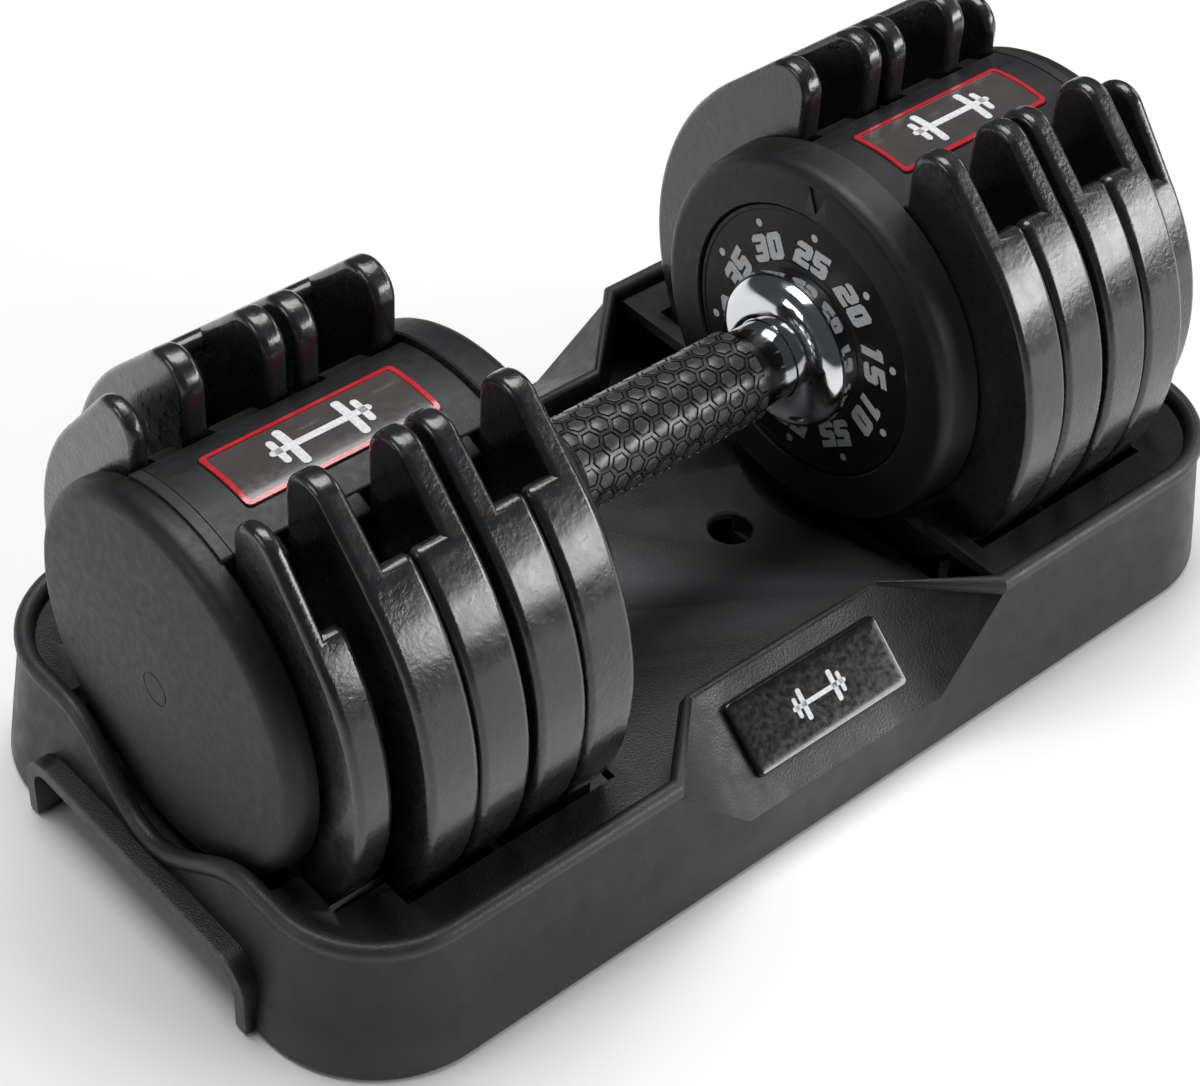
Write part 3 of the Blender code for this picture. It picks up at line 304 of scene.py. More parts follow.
def loft(name, rings, angle=32):
    """A closed solid through rings of points, with a flat end on the first and the last."""
    count = len(rings[0])
    points = [point for ring in rings for point in ring]
    faces = [tuple(range(count)), tuple(range(len(points) - 1, len(points) - count - 1, -1))]
    for k in range(len(rings) - 1):
        for i in range(count):
            j = (i + 1) % count
            faces.append((k * count + i, k * count + j, (k + 1) * count + j, (k + 1) * count + i))
    return solid(name, points, faces, angle)


def prism(name, outline, x0, x1, round_r=0.0, steps=3, up=0.0):
    """An outline of (y, z) points, extruded along X; round_r rounds the edges of both ends."""
    if round_r == 0:
        return loft(name, [[(x, y, z + up) for y, z in outline] for x in (x0, x1)])
    rings = []
    for x, way in ((x0, 1), (x1, -1)):
        end = []
        for i in range(steps + 1):
            turn = pi / 2 * i / steps
            ring = inset(outline, round_r * (1 - sin(turn)))
            end.append([(x + way * round_r * (1 - cos(turn)), y, z + up) for y, z in ring])
        rings += end if way > 0 else end[::-1]
    return loft(name, rings)


def turned(name, profile, steps=96, up=AXIS_Z, back=0.0, angle=32):
    """A closed profile of (x, radius) points, turned about a line along X."""
    points = []
    rings = []
    for x, radius in profile:
        if radius == 0:
            rings.append([len(points)] * steps)
            points.append((x, back, up))
            continue
        rings.append(list(range(len(points), len(points) + steps)))
        points += [(x, y + back, z + up) for y, z in arc((0, 0), radius, 0, 360, steps)[:-1]]
    faces = []
    for k, ring in enumerate(rings):
        other = rings[(k + 1) % len(rings)]
        if ring[0] == ring[1] and other[0] == other[1]:
            continue
        for i in range(steps):
            j = (i + 1) % steps
            face = []
            for index in (ring[i], ring[j], other[j], other[i]):
                if index not in face:
                    face.append(index)
            faces.append(tuple(face))
    return solid(name, points, faces, angle)


def rod(name, radius, x0, x1, steps=64, up=AXIS_Z, back=0.0):
    return turned(name, [(x0, 0), (x0, radius), (x1, radius), (x1, 0)], steps, up, back)


def upright(obj, place):
    """Stands a solid that was turned about X up along Z, at a place."""
    for vert in obj.data.vertices:
        x, y, z = vert.co
        vert.co = (-z + place[0] * MM, y + place[1] * MM, x + place[2] * MM)
    return obj


def box(name, low, high):
    outline = [(low[1], low[2]), (high[1], low[2]), (high[1], high[2]), (low[1], high[2])]
    return prism(name, outline, low[0], high[0])


def combine(target, tool, operation):
    """Joins or cuts the target with a tool, which is then removed."""
    modifier = target.modifiers.new(operation.lower(), 'BOOLEAN')
    modifier.operation = operation
    modifier.solver = 'EXACT'
    modifier.object = tool
    bpy.context.view_layer.update()
    graph = bpy.context.evaluated_depsgraph_get()
    result = bpy.data.meshes.new_from_object(target.evaluated_get(graph))
    target.modifiers.clear()
    target.data = result
    result.materials.clear()
    finish_mesh(result)
    bpy.data.objects.remove(tool, do_unlink=True)
    return target


def cut(target, tool):
    return combine(target, tool, 'DIFFERENCE')


def join(target, tool):
    return combine(target, tool, 'UNION')


def mirrored(obj, name):
    """The same piece for the -X head."""
    bm = bmesh.new()
    bm.from_mesh(obj.data)
    for vert in bm.verts:
        vert.co.x = -vert.co.x
    bmesh.ops.reverse_faces(bm, faces=bm.faces)
    return linked(bm, name)


def flat_shading(obj):
    """Keeps large flat faces flat beside rounded edges."""
    modifier = obj.modifiers.new("flat_faces", 'WEIGHTED_NORMAL')
    modifier.keep_sharp = True
    modifier.weight = 100


# --- Materials ---

class Nodes:
    """A material's node tree, with short calls for the nodes that the materials here share."""

    def __init__(self, name):
        self.mat = bpy.data.materials.new(name)
        self.mat.use_nodes = True
        self.tree = self.mat.node_tree
        self.shader = self.tree.nodes["Principled BSDF"]
        self.place = self.add("ShaderNodeTexCoord").outputs["Object"]

    def add(self, kind, **settings):
        node = self.tree.nodes.new(kind)
        for key, value in settings.items():
            setattr(node, key, value)
        return node

    def link(self, source, target):
        self.tree.links.new(source, target)

    def noise(self, size_mm, detail=2.0, rough=0.5):
        """Noise whose lumps are about size_mm across."""
        node = self.add("ShaderNodeTexNoise")
        self.link(self.place, node.inputs["Vector"])
        node.inputs["Scale"].default_value = 1 / (size_mm * MM)
        node.inputs["Detail"].default_value = detail
        node.inputs["Roughness"].default_value = rough
        return node.outputs["Fac"]

    def cells(self, size_mm, feature='F1'):
        node = self.add("ShaderNodeTexVoronoi", feature=feature)
        self.link(self.place, node.inputs["Vector"])
        node.inputs["Scale"].default_value = 1 / (size_mm * MM)
        return node.outputs["Distance"]

    def between(self, value, low, high, to_low, to_high):
        node = self.add("ShaderNodeMapRange")
        self.link(value, node.inputs["Value"])
        for key, number in (("From Min", low), ("From Max", high), ("To Min", to_low), ("To Max", to_high)):
            node.inputs[key].default_value = number
        return node.outputs["Result"]

    def uneven(self, size_mm, detail, low, high):
        """A value that wanders between two limits, as roughness does over a used face."""
        return self.between(self.noise(size_mm, detail), 0.3, 0.7, low, high)

    def math(self, operation, a, b):
        node = self.add("ShaderNodeMath", operation=operation)
        for socket, value in zip(node.inputs, (a, b)):
            if isinstance(value, (int, float)):
                socket.default_value = value
            else:
                self.link(value, socket)
        return node.outputs["Value"]

    def mix(self, share, a, b):
        """A mix of two colours, each a colour or a socket."""
        node = self.add("ShaderNodeMix", data_type='RGBA')
        self.link(share, node.inputs["Factor"])
        for key, value in (("A", a), ("B", b)):
            socket = [item for item in node.inputs if item.name == key and item.type == 'RGBA'][0]
            if isinstance(value, tuple):
                socket.default_value = (*value, 1.0)
            else:
                self.link(value, socket)
        return [item for item in node.outputs if item.type == 'RGBA'][0]

    def bump(self, height, depth_mm, below=None):
        node = self.add("ShaderNodeBump")
        self.link(height, node.inputs["Height"])
        node.inputs["Distance"].default_value = depth_mm * MM
        if below is not None:
            self.link(below, node.inputs["Normal"])
        return node.outputs["Normal"]

    def edges(self, low, high):
        """1 on sharp outer edges, 0 elsewhere."""
        node = self.add("ShaderNodeNewGeometry")
        return self.between(node.outputs["Pointiness"], low, high, 0.0, 1.0)

    def surface(self, color=None, rough=None, normal=None, metallic=0.0):
        for key, value in (("Base Color", color), ("Roughness", rough), ("Normal", normal)):
            if value is None:
                continue
            if isinstance(value, tuple):
                self.shader.inputs[key].default_value = (*value, 1.0)
            elif isinstance(value, float):
                self.shader.inputs[key].default_value = value
            else:
                self.link(value, self.shader.inputs[key])
        self.shader.inputs["Metallic"].default_value = metallic
        return self.mat


def cast_enamel():
    """Black enamel on cast iron: orange peel, a coarser skin in patches, worn bright at the edges."""
    n = Nodes("cast_iron_enamel_look")
    patch = n.between(n.noise(34, 3), 0.4, 0.62, 0.25, 1.0)
    skin = n.math('MULTIPLY', n.noise(1.7, 3, 0.55), patch)
    pits = n.between(n.cells(2.6), 0.05, 0.35, 0.0, 1.0)
    normal = n.bump(skin, 0.34)
    normal = n.bump(n.noise(9.0, 2), 0.3, normal)
    normal = n.bump(pits, 0.03, normal)
    worn = n.math('MULTIPLY', n.edges(0.52, 0.6), n.between(n.noise(4, 4), 0.45, 0.7, 0.0, 0.8))
    color = n.mix(n.noise(12, 4), (0.007, 0.0074, 0.0082), (0.014, 0.0145, 0.016))
    color = n.mix(worn, color, (0.07, 0.072, 0.076))
    rough = n.uneven(5, 4, 0.22, 0.36)
    n.shader.inputs["Coat Weight"].default_value = 0.6
    n.shader.inputs["Coat Roughness"].default_value = 0.16
    return n.surface(color, rough, normal)


def moulded_shell():
    """Matte moulded plastic with a fine spark-eroded grain."""
    n = Nodes("matte_black_shell_look")
    grain = n.noise(0.55, 2, 0.6)
    normal = n.bump(grain, 0.06)
    normal = n.bump(n.noise(26, 2), 0.12, normal)
    color = n.mix(n.noise(18, 5), (0.006, 0.0064, 0.0072), (0.0095, 0.01, 0.011))
    color = n.mix(n.edges(0.53, 0.62), color, (0.034, 0.035, 0.037))
    rough = n.uneven(3, 5, 0.4, 0.52)
    n.shader.inputs["Specular IOR Level"].default_value = 0.38
    return n.surface(color, rough, normal)


def grained_tray():
    """The tray's plastic: a leather-like grain, dust and scuffs that make it uneven, and a painted
    highlight on its sharp edges that also stands for wear.
    """
    n = Nodes("grained_black_tray_look")
    grain = n.cells(0.75)
    normal = n.bump(grain, 0.07)
    normal = n.bump(n.noise(0.9, 3, 0.6), 0.05, normal)
    normal = n.bump(n.noise(60, 2), 0.25, normal)
    dust = n.between(n.noise(45, 6, 0.62), 0.42, 0.75, 0.0, 0.5)
    color = n.mix(dust, (0.006, 0.0063, 0.0072), (0.0125, 0.013, 0.0145))
    # sharp edges painted lighter: partly wear, partly a painted highlight along the rim bead and the pads'
    # crests
    color = n.mix(n.edges(0.51, 0.6), color, (0.085, 0.087, 0.092))
    rough = n.uneven(8, 5, 0.36, 0.5)
    n.shader.inputs["Specular IOR Level"].default_value = 0.42
    return n.surface(color, rough, normal)


def dial_plastic():
    n = Nodes("dial_black_look")
    normal = n.bump(n.noise(0.5, 2, 0.6), 0.03)
    color = n.mix(n.noise(9, 5), (0.004, 0.0043, 0.005), (0.007, 0.0074, 0.0085))
    color = n.mix(n.edges(0.53, 0.6), color, (0.05, 0.05, 0.052))
    rough = n.uneven(2.5, 4, 0.36, 0.5)
    n.shader.inputs["Specular IOR Level"].default_value = 0.3
    return n.surface(color, rough, normal)


def white_paint():
    """Pad-printed ink, slightly uneven."""
    n = Nodes("white_print_look")
    color = n.mix(n.between(n.noise(1.2, 5), 0.35, 0.7, 0.0, 1.0), (0.72, 0.73, 0.74), (0.52, 0.53, 0.55))
    rough = n.uneven(0.8, 3, 0.45, 0.65)
    return n.surface(color, rough, n.bump(n.noise(0.4, 2), 0.02))


def chrome():
    """Polished chrome with faint turning lines and smudges."""
    n = Nodes("chrome_look")
    stretch = n.add("ShaderNodeMapping")
    n.link(n.place, stretch.inputs["Vector"])
    stretch.inputs["Scale"].default_value = (2600.0, 12.0, 12.0)
    lines = n.add("ShaderNodeTexNoise")
    n.link(stretch.outputs["Vector"], lines.inputs["Vector"])
    lines.inputs["Scale"].default_value = 1.0
    normal = n.bump(lines.outputs["Fac"], 0.004)
    normal = n.bump(n.noise(9, 2), 0.02, normal)
    color = n.mix(n.noise(14, 4), (0.78, 0.79, 0.8), (0.64, 0.65, 0.67))
    rough = n.between(n.noise(6, 5), 0.35, 0.7, 0.05, 0.16)
    return n.surface(color, rough, normal, 1.0)


def zinc():
    n = Nodes("zinc_steel_look")
    normal = n.bump(n.noise(0.8, 4), 0.03)
    color = n.mix(n.noise(5, 5), (0.42, 0.42, 0.43), (0.26, 0.27, 0.28))
    rough = n.uneven(2, 4, 0.28, 0.46)
    return n.surface(color, rough, normal, 1.0)


def grip_rubber():
    """Glossy rubber; the pads are smoother than the grooves."""
    n = Nodes("grip_rubber_look")
    normal = n.bump(n.noise(0.7, 3), 0.025)
    normal = n.bump(n.noise(5, 2), 0.08, normal)
    color = n.mix(n.noise(6, 4), (0.009, 0.009, 0.0095), (0.017, 0.017, 0.018))
    color = n.mix(n.edges(0.51, 0.57), color, (0.06, 0.06, 0.062))
    rough = n.uneven(2, 4, 0.2, 0.34)
    return n.surface(color, rough, normal)


def badge_gloss(name, low, high, coat):
    n = Nodes(name)
    normal = n.bump(n.noise(3.0, 2), 0.01)
    color = n.mix(n.noise(7, 4), low, high)
    rough = n.uneven(2, 4, 0.12, 0.24)
    n.shader.inputs["Coat Weight"].default_value = coat
    n.shader.inputs["Coat Roughness"].default_value = 0.05
    return n.surface(color, rough, normal)


def foot_rubber():
    n = Nodes("foot_rubber_look")
    normal = n.bump(n.noise(0.9, 3), 0.06)
    color = n.mix(n.noise(4, 4), (0.025, 0.025, 0.026), (0.045, 0.045, 0.046))
    return n.surface(color, n.uneven(2, 4, 0.75, 0.92), normal)


def pale_floor():
    n = Nodes("floor_look")
    color = n.mix(n.noise(300, 3), (0.86, 0.86, 0.86), (0.9, 0.9, 0.9))
    return n.surface(color, n.uneven(60, 3, 0.7, 0.85), None)


LOOKS = {
    "iron": cast_enamel(),
    "shell": moulded_shell(),
    "tray": grained_tray(),
    "dial": dial_plastic(),
    "paint": white_paint(),
    "chrome": chrome(),
    "steel": zinc(),
    "grip": grip_rubber(),
    "badge": badge_gloss("badge_field_look", (0.05, 0.045, 0.043), (0.075, 0.068, 0.065), 0.3),
    "border": badge_gloss("badge_border_look", (0.45, 0.012, 0.02), (0.6, 0.02, 0.03), 0.4),
    "plaque": badge_gloss("tray_badge_look", (0.004, 0.004, 0.005), (0.008, 0.008, 0.009), 0.3),
    "foot": foot_rubber(),
}


def settle(obj, look, body, *nodes):
    """Gives a finished piece its material and its body, and hides the CAD nodes it stands for."""
    if not obj.data.materials:
        obj.data.materials.append(LOOKS[look])
    flat_shading(obj)
    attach(obj, body)
    if nodes:
        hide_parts(*nodes)
    return obj


def settle_pair(obj, look, body, node=None):
    """Settles a +X head's piece and its mirror image; {side} in body stands for left or right."""
    twin = mirrored(obj, obj.name.replace("right_", "left_"))
    for piece, side in ((obj, "right"), (twin, "left")):
        nodes = [f"{side}_{node}"] if node else []
        settle(piece, look, body.format(side=side), *nodes)


# --- Plates ---

def tangent_lean(radius, tip):
    """The angle, above +Y, at which a plate's rim leaves its circle for the arm's tip."""
    return degrees(atan2(tip[1], tip[0]) - acos((radius - TIP_R) / hypot(*tip)))


def both_halves(half):
    """An outline from its right half, which starts and ends on the middle line."""
    return half + [(-y, z) for y, z in reversed(half[1:-1])]


def arms_outline(radius, tip_z):
    """A plate's face with its slot and arms."""
    tip = (SLOT_HALF + TIP_R, tip_z)
    lean = tangent_lean(radius, tip)
    half = arc((0, 0), SLOT_HALF, -90, 0, 16)
    half += arc(tip, TIP_R, 180, lean, 18)
    half += arc((0, 0), radius, lean, -90, 56)
    return both_halves(half)


def crescent_outline(radius, tip_z):
    """The part of a plate that has its full thickness, round the recess."""
    tip = (SLOT_HALF + TIP_R, tip_z)
    lean = tangent_lean(radius, tip)
    direction = (cos(radians(lean)), sin(radians(lean)))
    foot = (radius * direction[0], radius * direction[1])
    head = (tip[0] + TIP_R * direction[0], tip[1] + TIP_R * direction[1])
    share = (RECESS_HALF - foot[0]) / (head[0] - foot[0])
    shoulder = (RECESS_HALF, foot[1] + share * (head[1] - foot[1]))
    half = arc((0, 0), radius, -90, lean, 56)
    half += corner(foot, shoulder, (RECESS_HALF, 0), SHOULDER_ROUND)
    half += arc((0, 0), RECESS_HALF, 0, -90, 24)
    return both_halves(half)


def plate(number, radius, tip_z, arm_side):
    """arm_side is -1 where the arms lie on the inner side of the plate, +1 on the outer."""
    x0, x1 = PLATE_X[number]
    arm = (x1 - x0) * ARM_SHARE
    arm_span = (x0 + SKIN, x0 + arm) if arm_side < 0 else (x1 - arm, x1 - SKIN)
    piece = prism(f"right_plate_{number}_look", crescent_outline(radius, tip_z), x0, x1, EDGE_ROUND, 4,
                  up=AXIS_Z)
    outline = inset(arms_outline(radius, tip_z), SKIN)
    join(piece, prism("arms", outline, *arm_span, EDGE_ROUND - SKIN, 4, up=AXIS_Z))
    arm_face = arm_span[0] if arm_side > 0 else arm_span[1]
    lug_end = arm_face - arm_side * (x1 - x0 - arm) * LUG_SHARE
    outline = rounded([(-LUG_HALF, LUG_LOW), (LUG_HALF, LUG_LOW), (LUG_HALF, LUG_HIGH),
                       (-LUG_HALF, LUG_HIGH)], 1.0)
    low, high = sorted((arm_face + arm_side * OVERLAP, lug_end))
    join(piece, prism("lug", outline, low, high, up=AXIS_Z))
    settle_pair(piece, "iron", "{side}_weight_" + str(number), f"plate_{number}")


# --- Housing, covers, caps, dials ---

def saddle_outline():
    """The body between the plates' arms: round keel, straight sides, round top."""
    top_angle = degrees(acos(SADDLE_HALF / SADDLE_R))
    shoulder = (SADDLE_HALF, SADDLE_R * sin(radians(top_angle)))
    on_top = arc((0, 0), SADDLE_R, top_angle + 3, 90, 12)
    half = arc((0, SADDLE_HALF - KEEL_Z), SADDLE_HALF, -90, 0, 16)
    half += corner((SADDLE_HALF, 0), shoulder, on_top[0], 1.2)
    return both_halves(half + on_top)


def bridge_outline(half_width):
    """A block across the saddle, just under its top, that stands out on both sides."""
    top_r = SADDLE_R - BRIDGE_LOWER
    outer = degrees(acos(half_width / top_r))
    inner = degrees(acos(half_width / BRIDGE_INNER_R))
    top = arc((0, 0), top_r, outer, 180 - outer, 20)
    bottom = arc((0, 0), BRIDGE_INNER_R, 180 - inner, inner, 14)
    points = corner(bottom[-1], top[0], top[1], 1.6, 3) + top[1:-1]
    points += corner(top[-2], top[-1], bottom[0], 1.6, 3) + bottom
    return points


def head_housing():
    piece = prism("right_housing_look", saddle_outline(), FLANGE_X, HOUSING_X1, 0.5, 2, up=AXIS_Z)
    flange_r = COVER_R - COVER_WALL - GAP
    join(piece, rod("flange", flange_r, HOUSING_X0, FLANGE_X, FLANGE_STEPS))
    bays = ((PLATE_X[5], PLATE_X[4]), (PLATE_X[3], PLATE_X[2]))
    spans = [(inner[0] + (inner[1] - inner[0]) * ARM_SHARE, outer[1] - (outer[1] - outer[0]) * ARM_SHARE)
             for inner, outer in bays]
    small = PLATE_X[1]
    spans.append((PLATE_X[2][1], small[1] - (small[1] - small[0]) * ARM_SHARE))
    for start, end in spans:
        low = start + BAY_EASE
        high = end - BAY_EASE
        cut(piece, rod("bay", BAY_R, low, high, BAY_STEPS))
        outline = bridge_outline(BRIDGE_HALF)
        join(piece, prism("bridge", outline, low + BRIDGE_EASE, high - BRIDGE_EASE, BRIDGE_ROUND, 2,
                          up=AXIS_Z))
    rib = bridge_outline(SADDLE_HALF + RIB_WIDER)
    join(piece, prism("rib", rib, PLATE_X[4][1] + RIB_EASE, PLATE_X[3][0] - RIB_EASE, 0.5, 2, up=AXIS_Z))
    cut(piece, rod("journal", JOURNAL_R, HOUSING_X0 - THROUGH, HOUSING_X1 + THROUGH, JOURNAL_STEPS))
    cut(piece, on_saddle("badge_seat", badge_outline(-GAP, BADGE_CORNER), SADDLE_R - BADGE_INSET,
                         SADDLE_R + THROUGH))
    settle_pair(piece, "shell", "core", "housing")


def on_saddle(name, outline, inner, outer):
    """An outline of (x, y) points over a head, as a solid between two radii from the handle's line."""
    xs = [x for x, y in outline]
    low, high = min(xs) - OVERLAP, max(xs) + OVERLAP
    piece = loft(name, [[(x, y, AXIS_Z + z) for x, y in outline] for z in (inner - 4.0, outer + 4.0)])
    shell = turned("shell", [(low, inner), (low, outer), (high, outer), (high, inner)], 240)
    return combine(piece, shell, 'INTERSECT')


def badge_outline(inward, corner_r):
    half = BADGE_HALF - inward
    low, high = BADGE_X[0] + inward, BADGE_X[1] - inward
    return rounded([(low, -half), (high, -half), (high, half), (low, half)], corner_r, 5)


def pictogram(center_x, size):
    """A plain dumbbell sign: a bar and four plates, as outlines of (x, y) points."""
    shapes = [(-0.72, 0.72, 0.05)]
    for way in (-1, 1):
        shapes += [(way * 0.42 - 0.06, way * 0.42 + 0.06, 0.34), (way * 0.6 - 0.05, way * 0.6 + 0.05, 0.22)]
    outlines = []
    for low, high, half in shapes:
        corners = [(low, -half), (high, -half), (high, half), (low, half)]
        outlines.append(rounded([(center_x + x * size, y * size) for x, y in corners], 0.045 * size, 2))
    return outlines


def top_badge():
    seat = SADDLE_R - BADGE_INSET + GAP
    face = seat + BADGE_THICK - BORDER_PROUD
    field = on_saddle("right_top_badge_look", badge_outline(0, BADGE_CORNER), seat, face)
    settle_pair(field, "badge", "core", "top_badge")
    border = on_saddle("right_badge_border", badge_outline(0.1, BADGE_CORNER), face - 0.2,
                       face + BORDER_PROUD)
    cut(border, on_saddle("window", badge_outline(BORDER, 1.2), face - 1.0, face + 1.0))
    settle_pair(border, "border", "core")
    middle = (BADGE_X[0] + BADGE_X[1]) / 2
    for i, outline in enumerate(pictogram(middle, 26.0)):
        height = face + BORDER_PROUD - 0.05 * (i % 2)
        settle_pair(on_saddle(f"right_badge_sign_{i}", outline, face - 0.2, height), "paint", "core")


def end_cap():
    """A slightly domed disc with a wide rounded edge, on a neck that continues the saddle."""
    flat_x = CAP_END - CAP_DOME
    profile = [(CAP_X0, 0)] + [(CAP_X0 + 1.2 - 1.2 * x, CAP_R - 1.2 + 1.2 * y)
                               for x, y in arc((0, 0), 1, 0, 90, 3)]
    center = (flat_x - CAP_ROUND, CAP_R - CAP_ROUND)
    profile += [(center[0] + CAP_ROUND * y, center[1] + CAP_ROUND * x) for x, y in arc((0, 0), 1, 0, 84, 8)]
    rim = profile[-1]
    steps = 12
    for i in range(1, steps):
        share = i / steps
        profile.append((rim[0] + (CAP_END - rim[0]) * sin(share * pi / 2), rim[1] * (1 - share)))
    profile.append((CAP_END, 0))
    piece = turned("right_end_cap_look", profile, 128)
    join(piece, prism("neck", saddle_outline(), HOUSING_X1 + GAP, CAP_X0 + OVERLAP, up=AXIS_Z))
    cut(piece, rod("hollow", CAP_CAVITY_R, HOUSING_X1 - THROUGH, span("shaft", 0)[1] + 2.5, 48))
    floor_x, above_x = CAP_END - GATE_MARK_DEEP, CAP_END + THROUGH
    inner_r = GATE_MARK_R - GATE_MARK_WIDE
    ring = [(floor_x, inner_r), (floor_x, GATE_MARK_R), (above_x, GATE_MARK_R), (above_x, inner_r)]
    cut(piece, turned("gate_mark", ring, GATE_MARK_STEPS))
    settle_pair(piece, "shell", "core", "end_cap")


def inner_cover():
    wall_r = COVER_R - COVER_WALL
    opening = DIAL_R + DIAL_EASE
    face_r = COVER_R - 1.0
    profile = [(COVER_X + 3, opening), (COVER_X + 0.5, opening), (COVER_X, opening + 0.5)]
    profile += [(COVER_X + COVER_ROUND + COVER_ROUND * y, face_r - COVER_ROUND + COVER_ROUND * x)
                for x, y in arc((0, 0), 1, -90, 0, 8)]
    profile += [(COVER_END - 0.6, COVER_R), (COVER_END, COVER_R - 0.6), (COVER_END, wall_r),
                (COVER_X + 3, wall_r)]
    piece = turned("right_inner_cover_look", profile, 128)
    low, high = LOCK_X
    cut(piece, box("foot_slot", (low - 0.5, -12.5, AXIS_Z - COVER_R - THROUGH),
                   (high + 0.5, 12.5, AXIS_Z - 50)))
    apex, base = POINTER_RING
    pointer = [(-POINTER_HALF, base), (POINTER_HALF, base), (0, apex)]
    cut(piece, prism("pointer", pointer, COVER_X - THROUGH, COVER_X + 0.7, up=AXIS_Z))
    settle_pair(piece, "shell", "core", "inner_cover")


def dial():
    seat = TUBE_R + 0.4
    profile = [(DIAL_X0, seat), (DIAL_X0, COLLAR_R + 1.2), (DIAL_X0 + 0.25, COLLAR_R + 1.5),
               (DIAL_X0 + 0.25, DIAL_R - 2.0), (DIAL_X0, DIAL_R - 1.7)]
    profile += [(DIAL_X0 + 0.5 + 0.5 * y, DIAL_R - 0.5 + 0.5 * x) for x, y in arc((0, 0), 1, -90, 0, 4)]
    profile += [(DIAL_X0 + DIAL_THICK, DIAL_R), (DIAL_X0 + DIAL_THICK, seat + 4), (DIAL_X2, seat + 4),
                (DIAL_X2, seat)]
    settle_pair(turned("right_dial_look", profile, 128), "dial", "rotor", "dial")
    for side, way in (("right", 1), ("left", -1)):
        settle(dial_marks(f"{side}_dial_marks", way), "paint", "rotor")


def dial_marks(name, way):
    """The printed numbers and dots of one dial, raised by the thickness of the ink."""
    face = way * (DIAL_X0 + 0.25)
    outward = Vector((-way, 0, 0))
    points = []
    faces = []

    def print_mesh(mesh, center, up):
        across = up.cross(outward)
        start = len(points)
        for vert in mesh.vertices:
            place = center + across * vert.co.x + up * vert.co.y + outward * vert.co.z
            points.append((place.x, place.y, place.z))
        faces.extend([start + i for i in polygon.vertices] for polygon in mesh.polygons)

    for mark in range(MARKS):
        angle = radians(90 - (mark - 3) * SECTOR)
        up = Vector((0, cos(angle), sin(angle)))
        middle = Vector((face, 0, AXIS_Z))
        print_mesh(number_mesh(str(10 + 5 * mark)), middle + up * NUMBER_RING, up)
        print_mesh(dot_mesh(), middle + up * DOT_RING, up)
    bm = filled(points, faces)
    bmesh.ops.remove_doubles(bm, verts=bm.verts, dist=MERGE)
    bmesh.ops.recalc_face_normals(bm, faces=bm.faces)
    return linked(bm, name)


def digit_outlines(digit):
    """A block figure, DIGIT_WIDE by DIGIT_TALL, as closed outlines from its lower left corner."""
    w, h, c, stem = DIGIT_WIDE, DIGIT_TALL, DIGIT_CHAMFER, DIGIT_STEM
    gap = (h - 3 * DIGIT_BAR) / 2
    low, middle = DIGIT_BAR, DIGIT_BAR + gap
    upper, high = h - middle, h - low
    two = [(0, 0), (w, 0), (w, low), (stem, low), (stem, middle), (w - c, middle), (w, middle + c),
           (w, h - c), (w - c, h), (c, h), (0, h - c), (0, high), (w - stem, high), (w - stem, upper),
           (c, upper), (0, upper - c)]
    if digit == "0":
        outer = [(0, c), (0, h - c), (c, h), (w - c, h), (w, h - c), (w, c), (w - c, 0), (c, 0)]
        return [outer, [(w / 2 - gap / 2, low), (w / 2 + gap / 2, low), (w / 2 + gap / 2, high),
                        (w / 2 - gap / 2, high)]]
    if digit == "1":
        left, right = (w - stem) / 2, (w + stem) / 2
        return [[(left, 0), (left, high), (left - c, high), (left - c, h - c / 2), (left, h), (right, h),
                 (right, 0)]]
    if digit == "2":
        return [two]
    if digit == "3":
        return [[(0, c), (0, low), (w - stem, low), (w - stem, middle), (c, middle), (c, upper),
                 (w - stem, upper), (w - stem, high), (0, high), (0, h - c), (c, h), (w - c, h), (w, h - c),
                 (w, c), (w - c, 0), (c, 0)]]
    if digit == "4":
        return [[(w - stem, 0), (w - stem, low), (0, low), (0, h), (stem, h), (stem, upper),
                 (w - stem, upper), (w - stem, h), (w, h), (w, 0)]]
    return [[(x, h - y) for x, y in two]]


def number_mesh(text):
    """Slanted block figures, centred, in millimetres, that start just below the face."""
    pitch = DIGIT_WIDE + DIGIT_SPACE
    curve = bpy.data.curves.new("figures", 'CURVE')
    curve.dimensions = '2D'
    curve.fill_mode = 'BOTH'
    curve.extrude = 0.11
    for place, digit in enumerate(text):
        start = (place - len(text) / 2) * pitch + DIGIT_SPACE / 2
        for outline in digit_outlines(digit):
            spline = curve.splines.new('POLY')
            spline.points.add(len(outline) - 1)
            spline.use_cyclic_u = True
            for point, (x, y) in zip(spline.points, outline):
                up = y - DIGIT_TALL / 2
                point.co = (start + x + up * DIGIT_LEAN, up, 0.0, 1.0)
    holder = bpy.data.objects.new("figures", curve)
    mesh = bpy.data.meshes.new_from_object(holder)
    bpy.data.objects.remove(holder, do_unlink=True)
    return mesh


def dot_mesh():
    bm = bmesh.new()
    bmesh.ops.create_cone(bm, cap_ends=True, segments=20, radius1=DOT_R, radius2=DOT_R, depth=0.22)
    mesh = bpy.data.meshes.new("dot")
    bm.to_mesh(mesh)
    bm.free()
    return mesh


# --- Handle ---

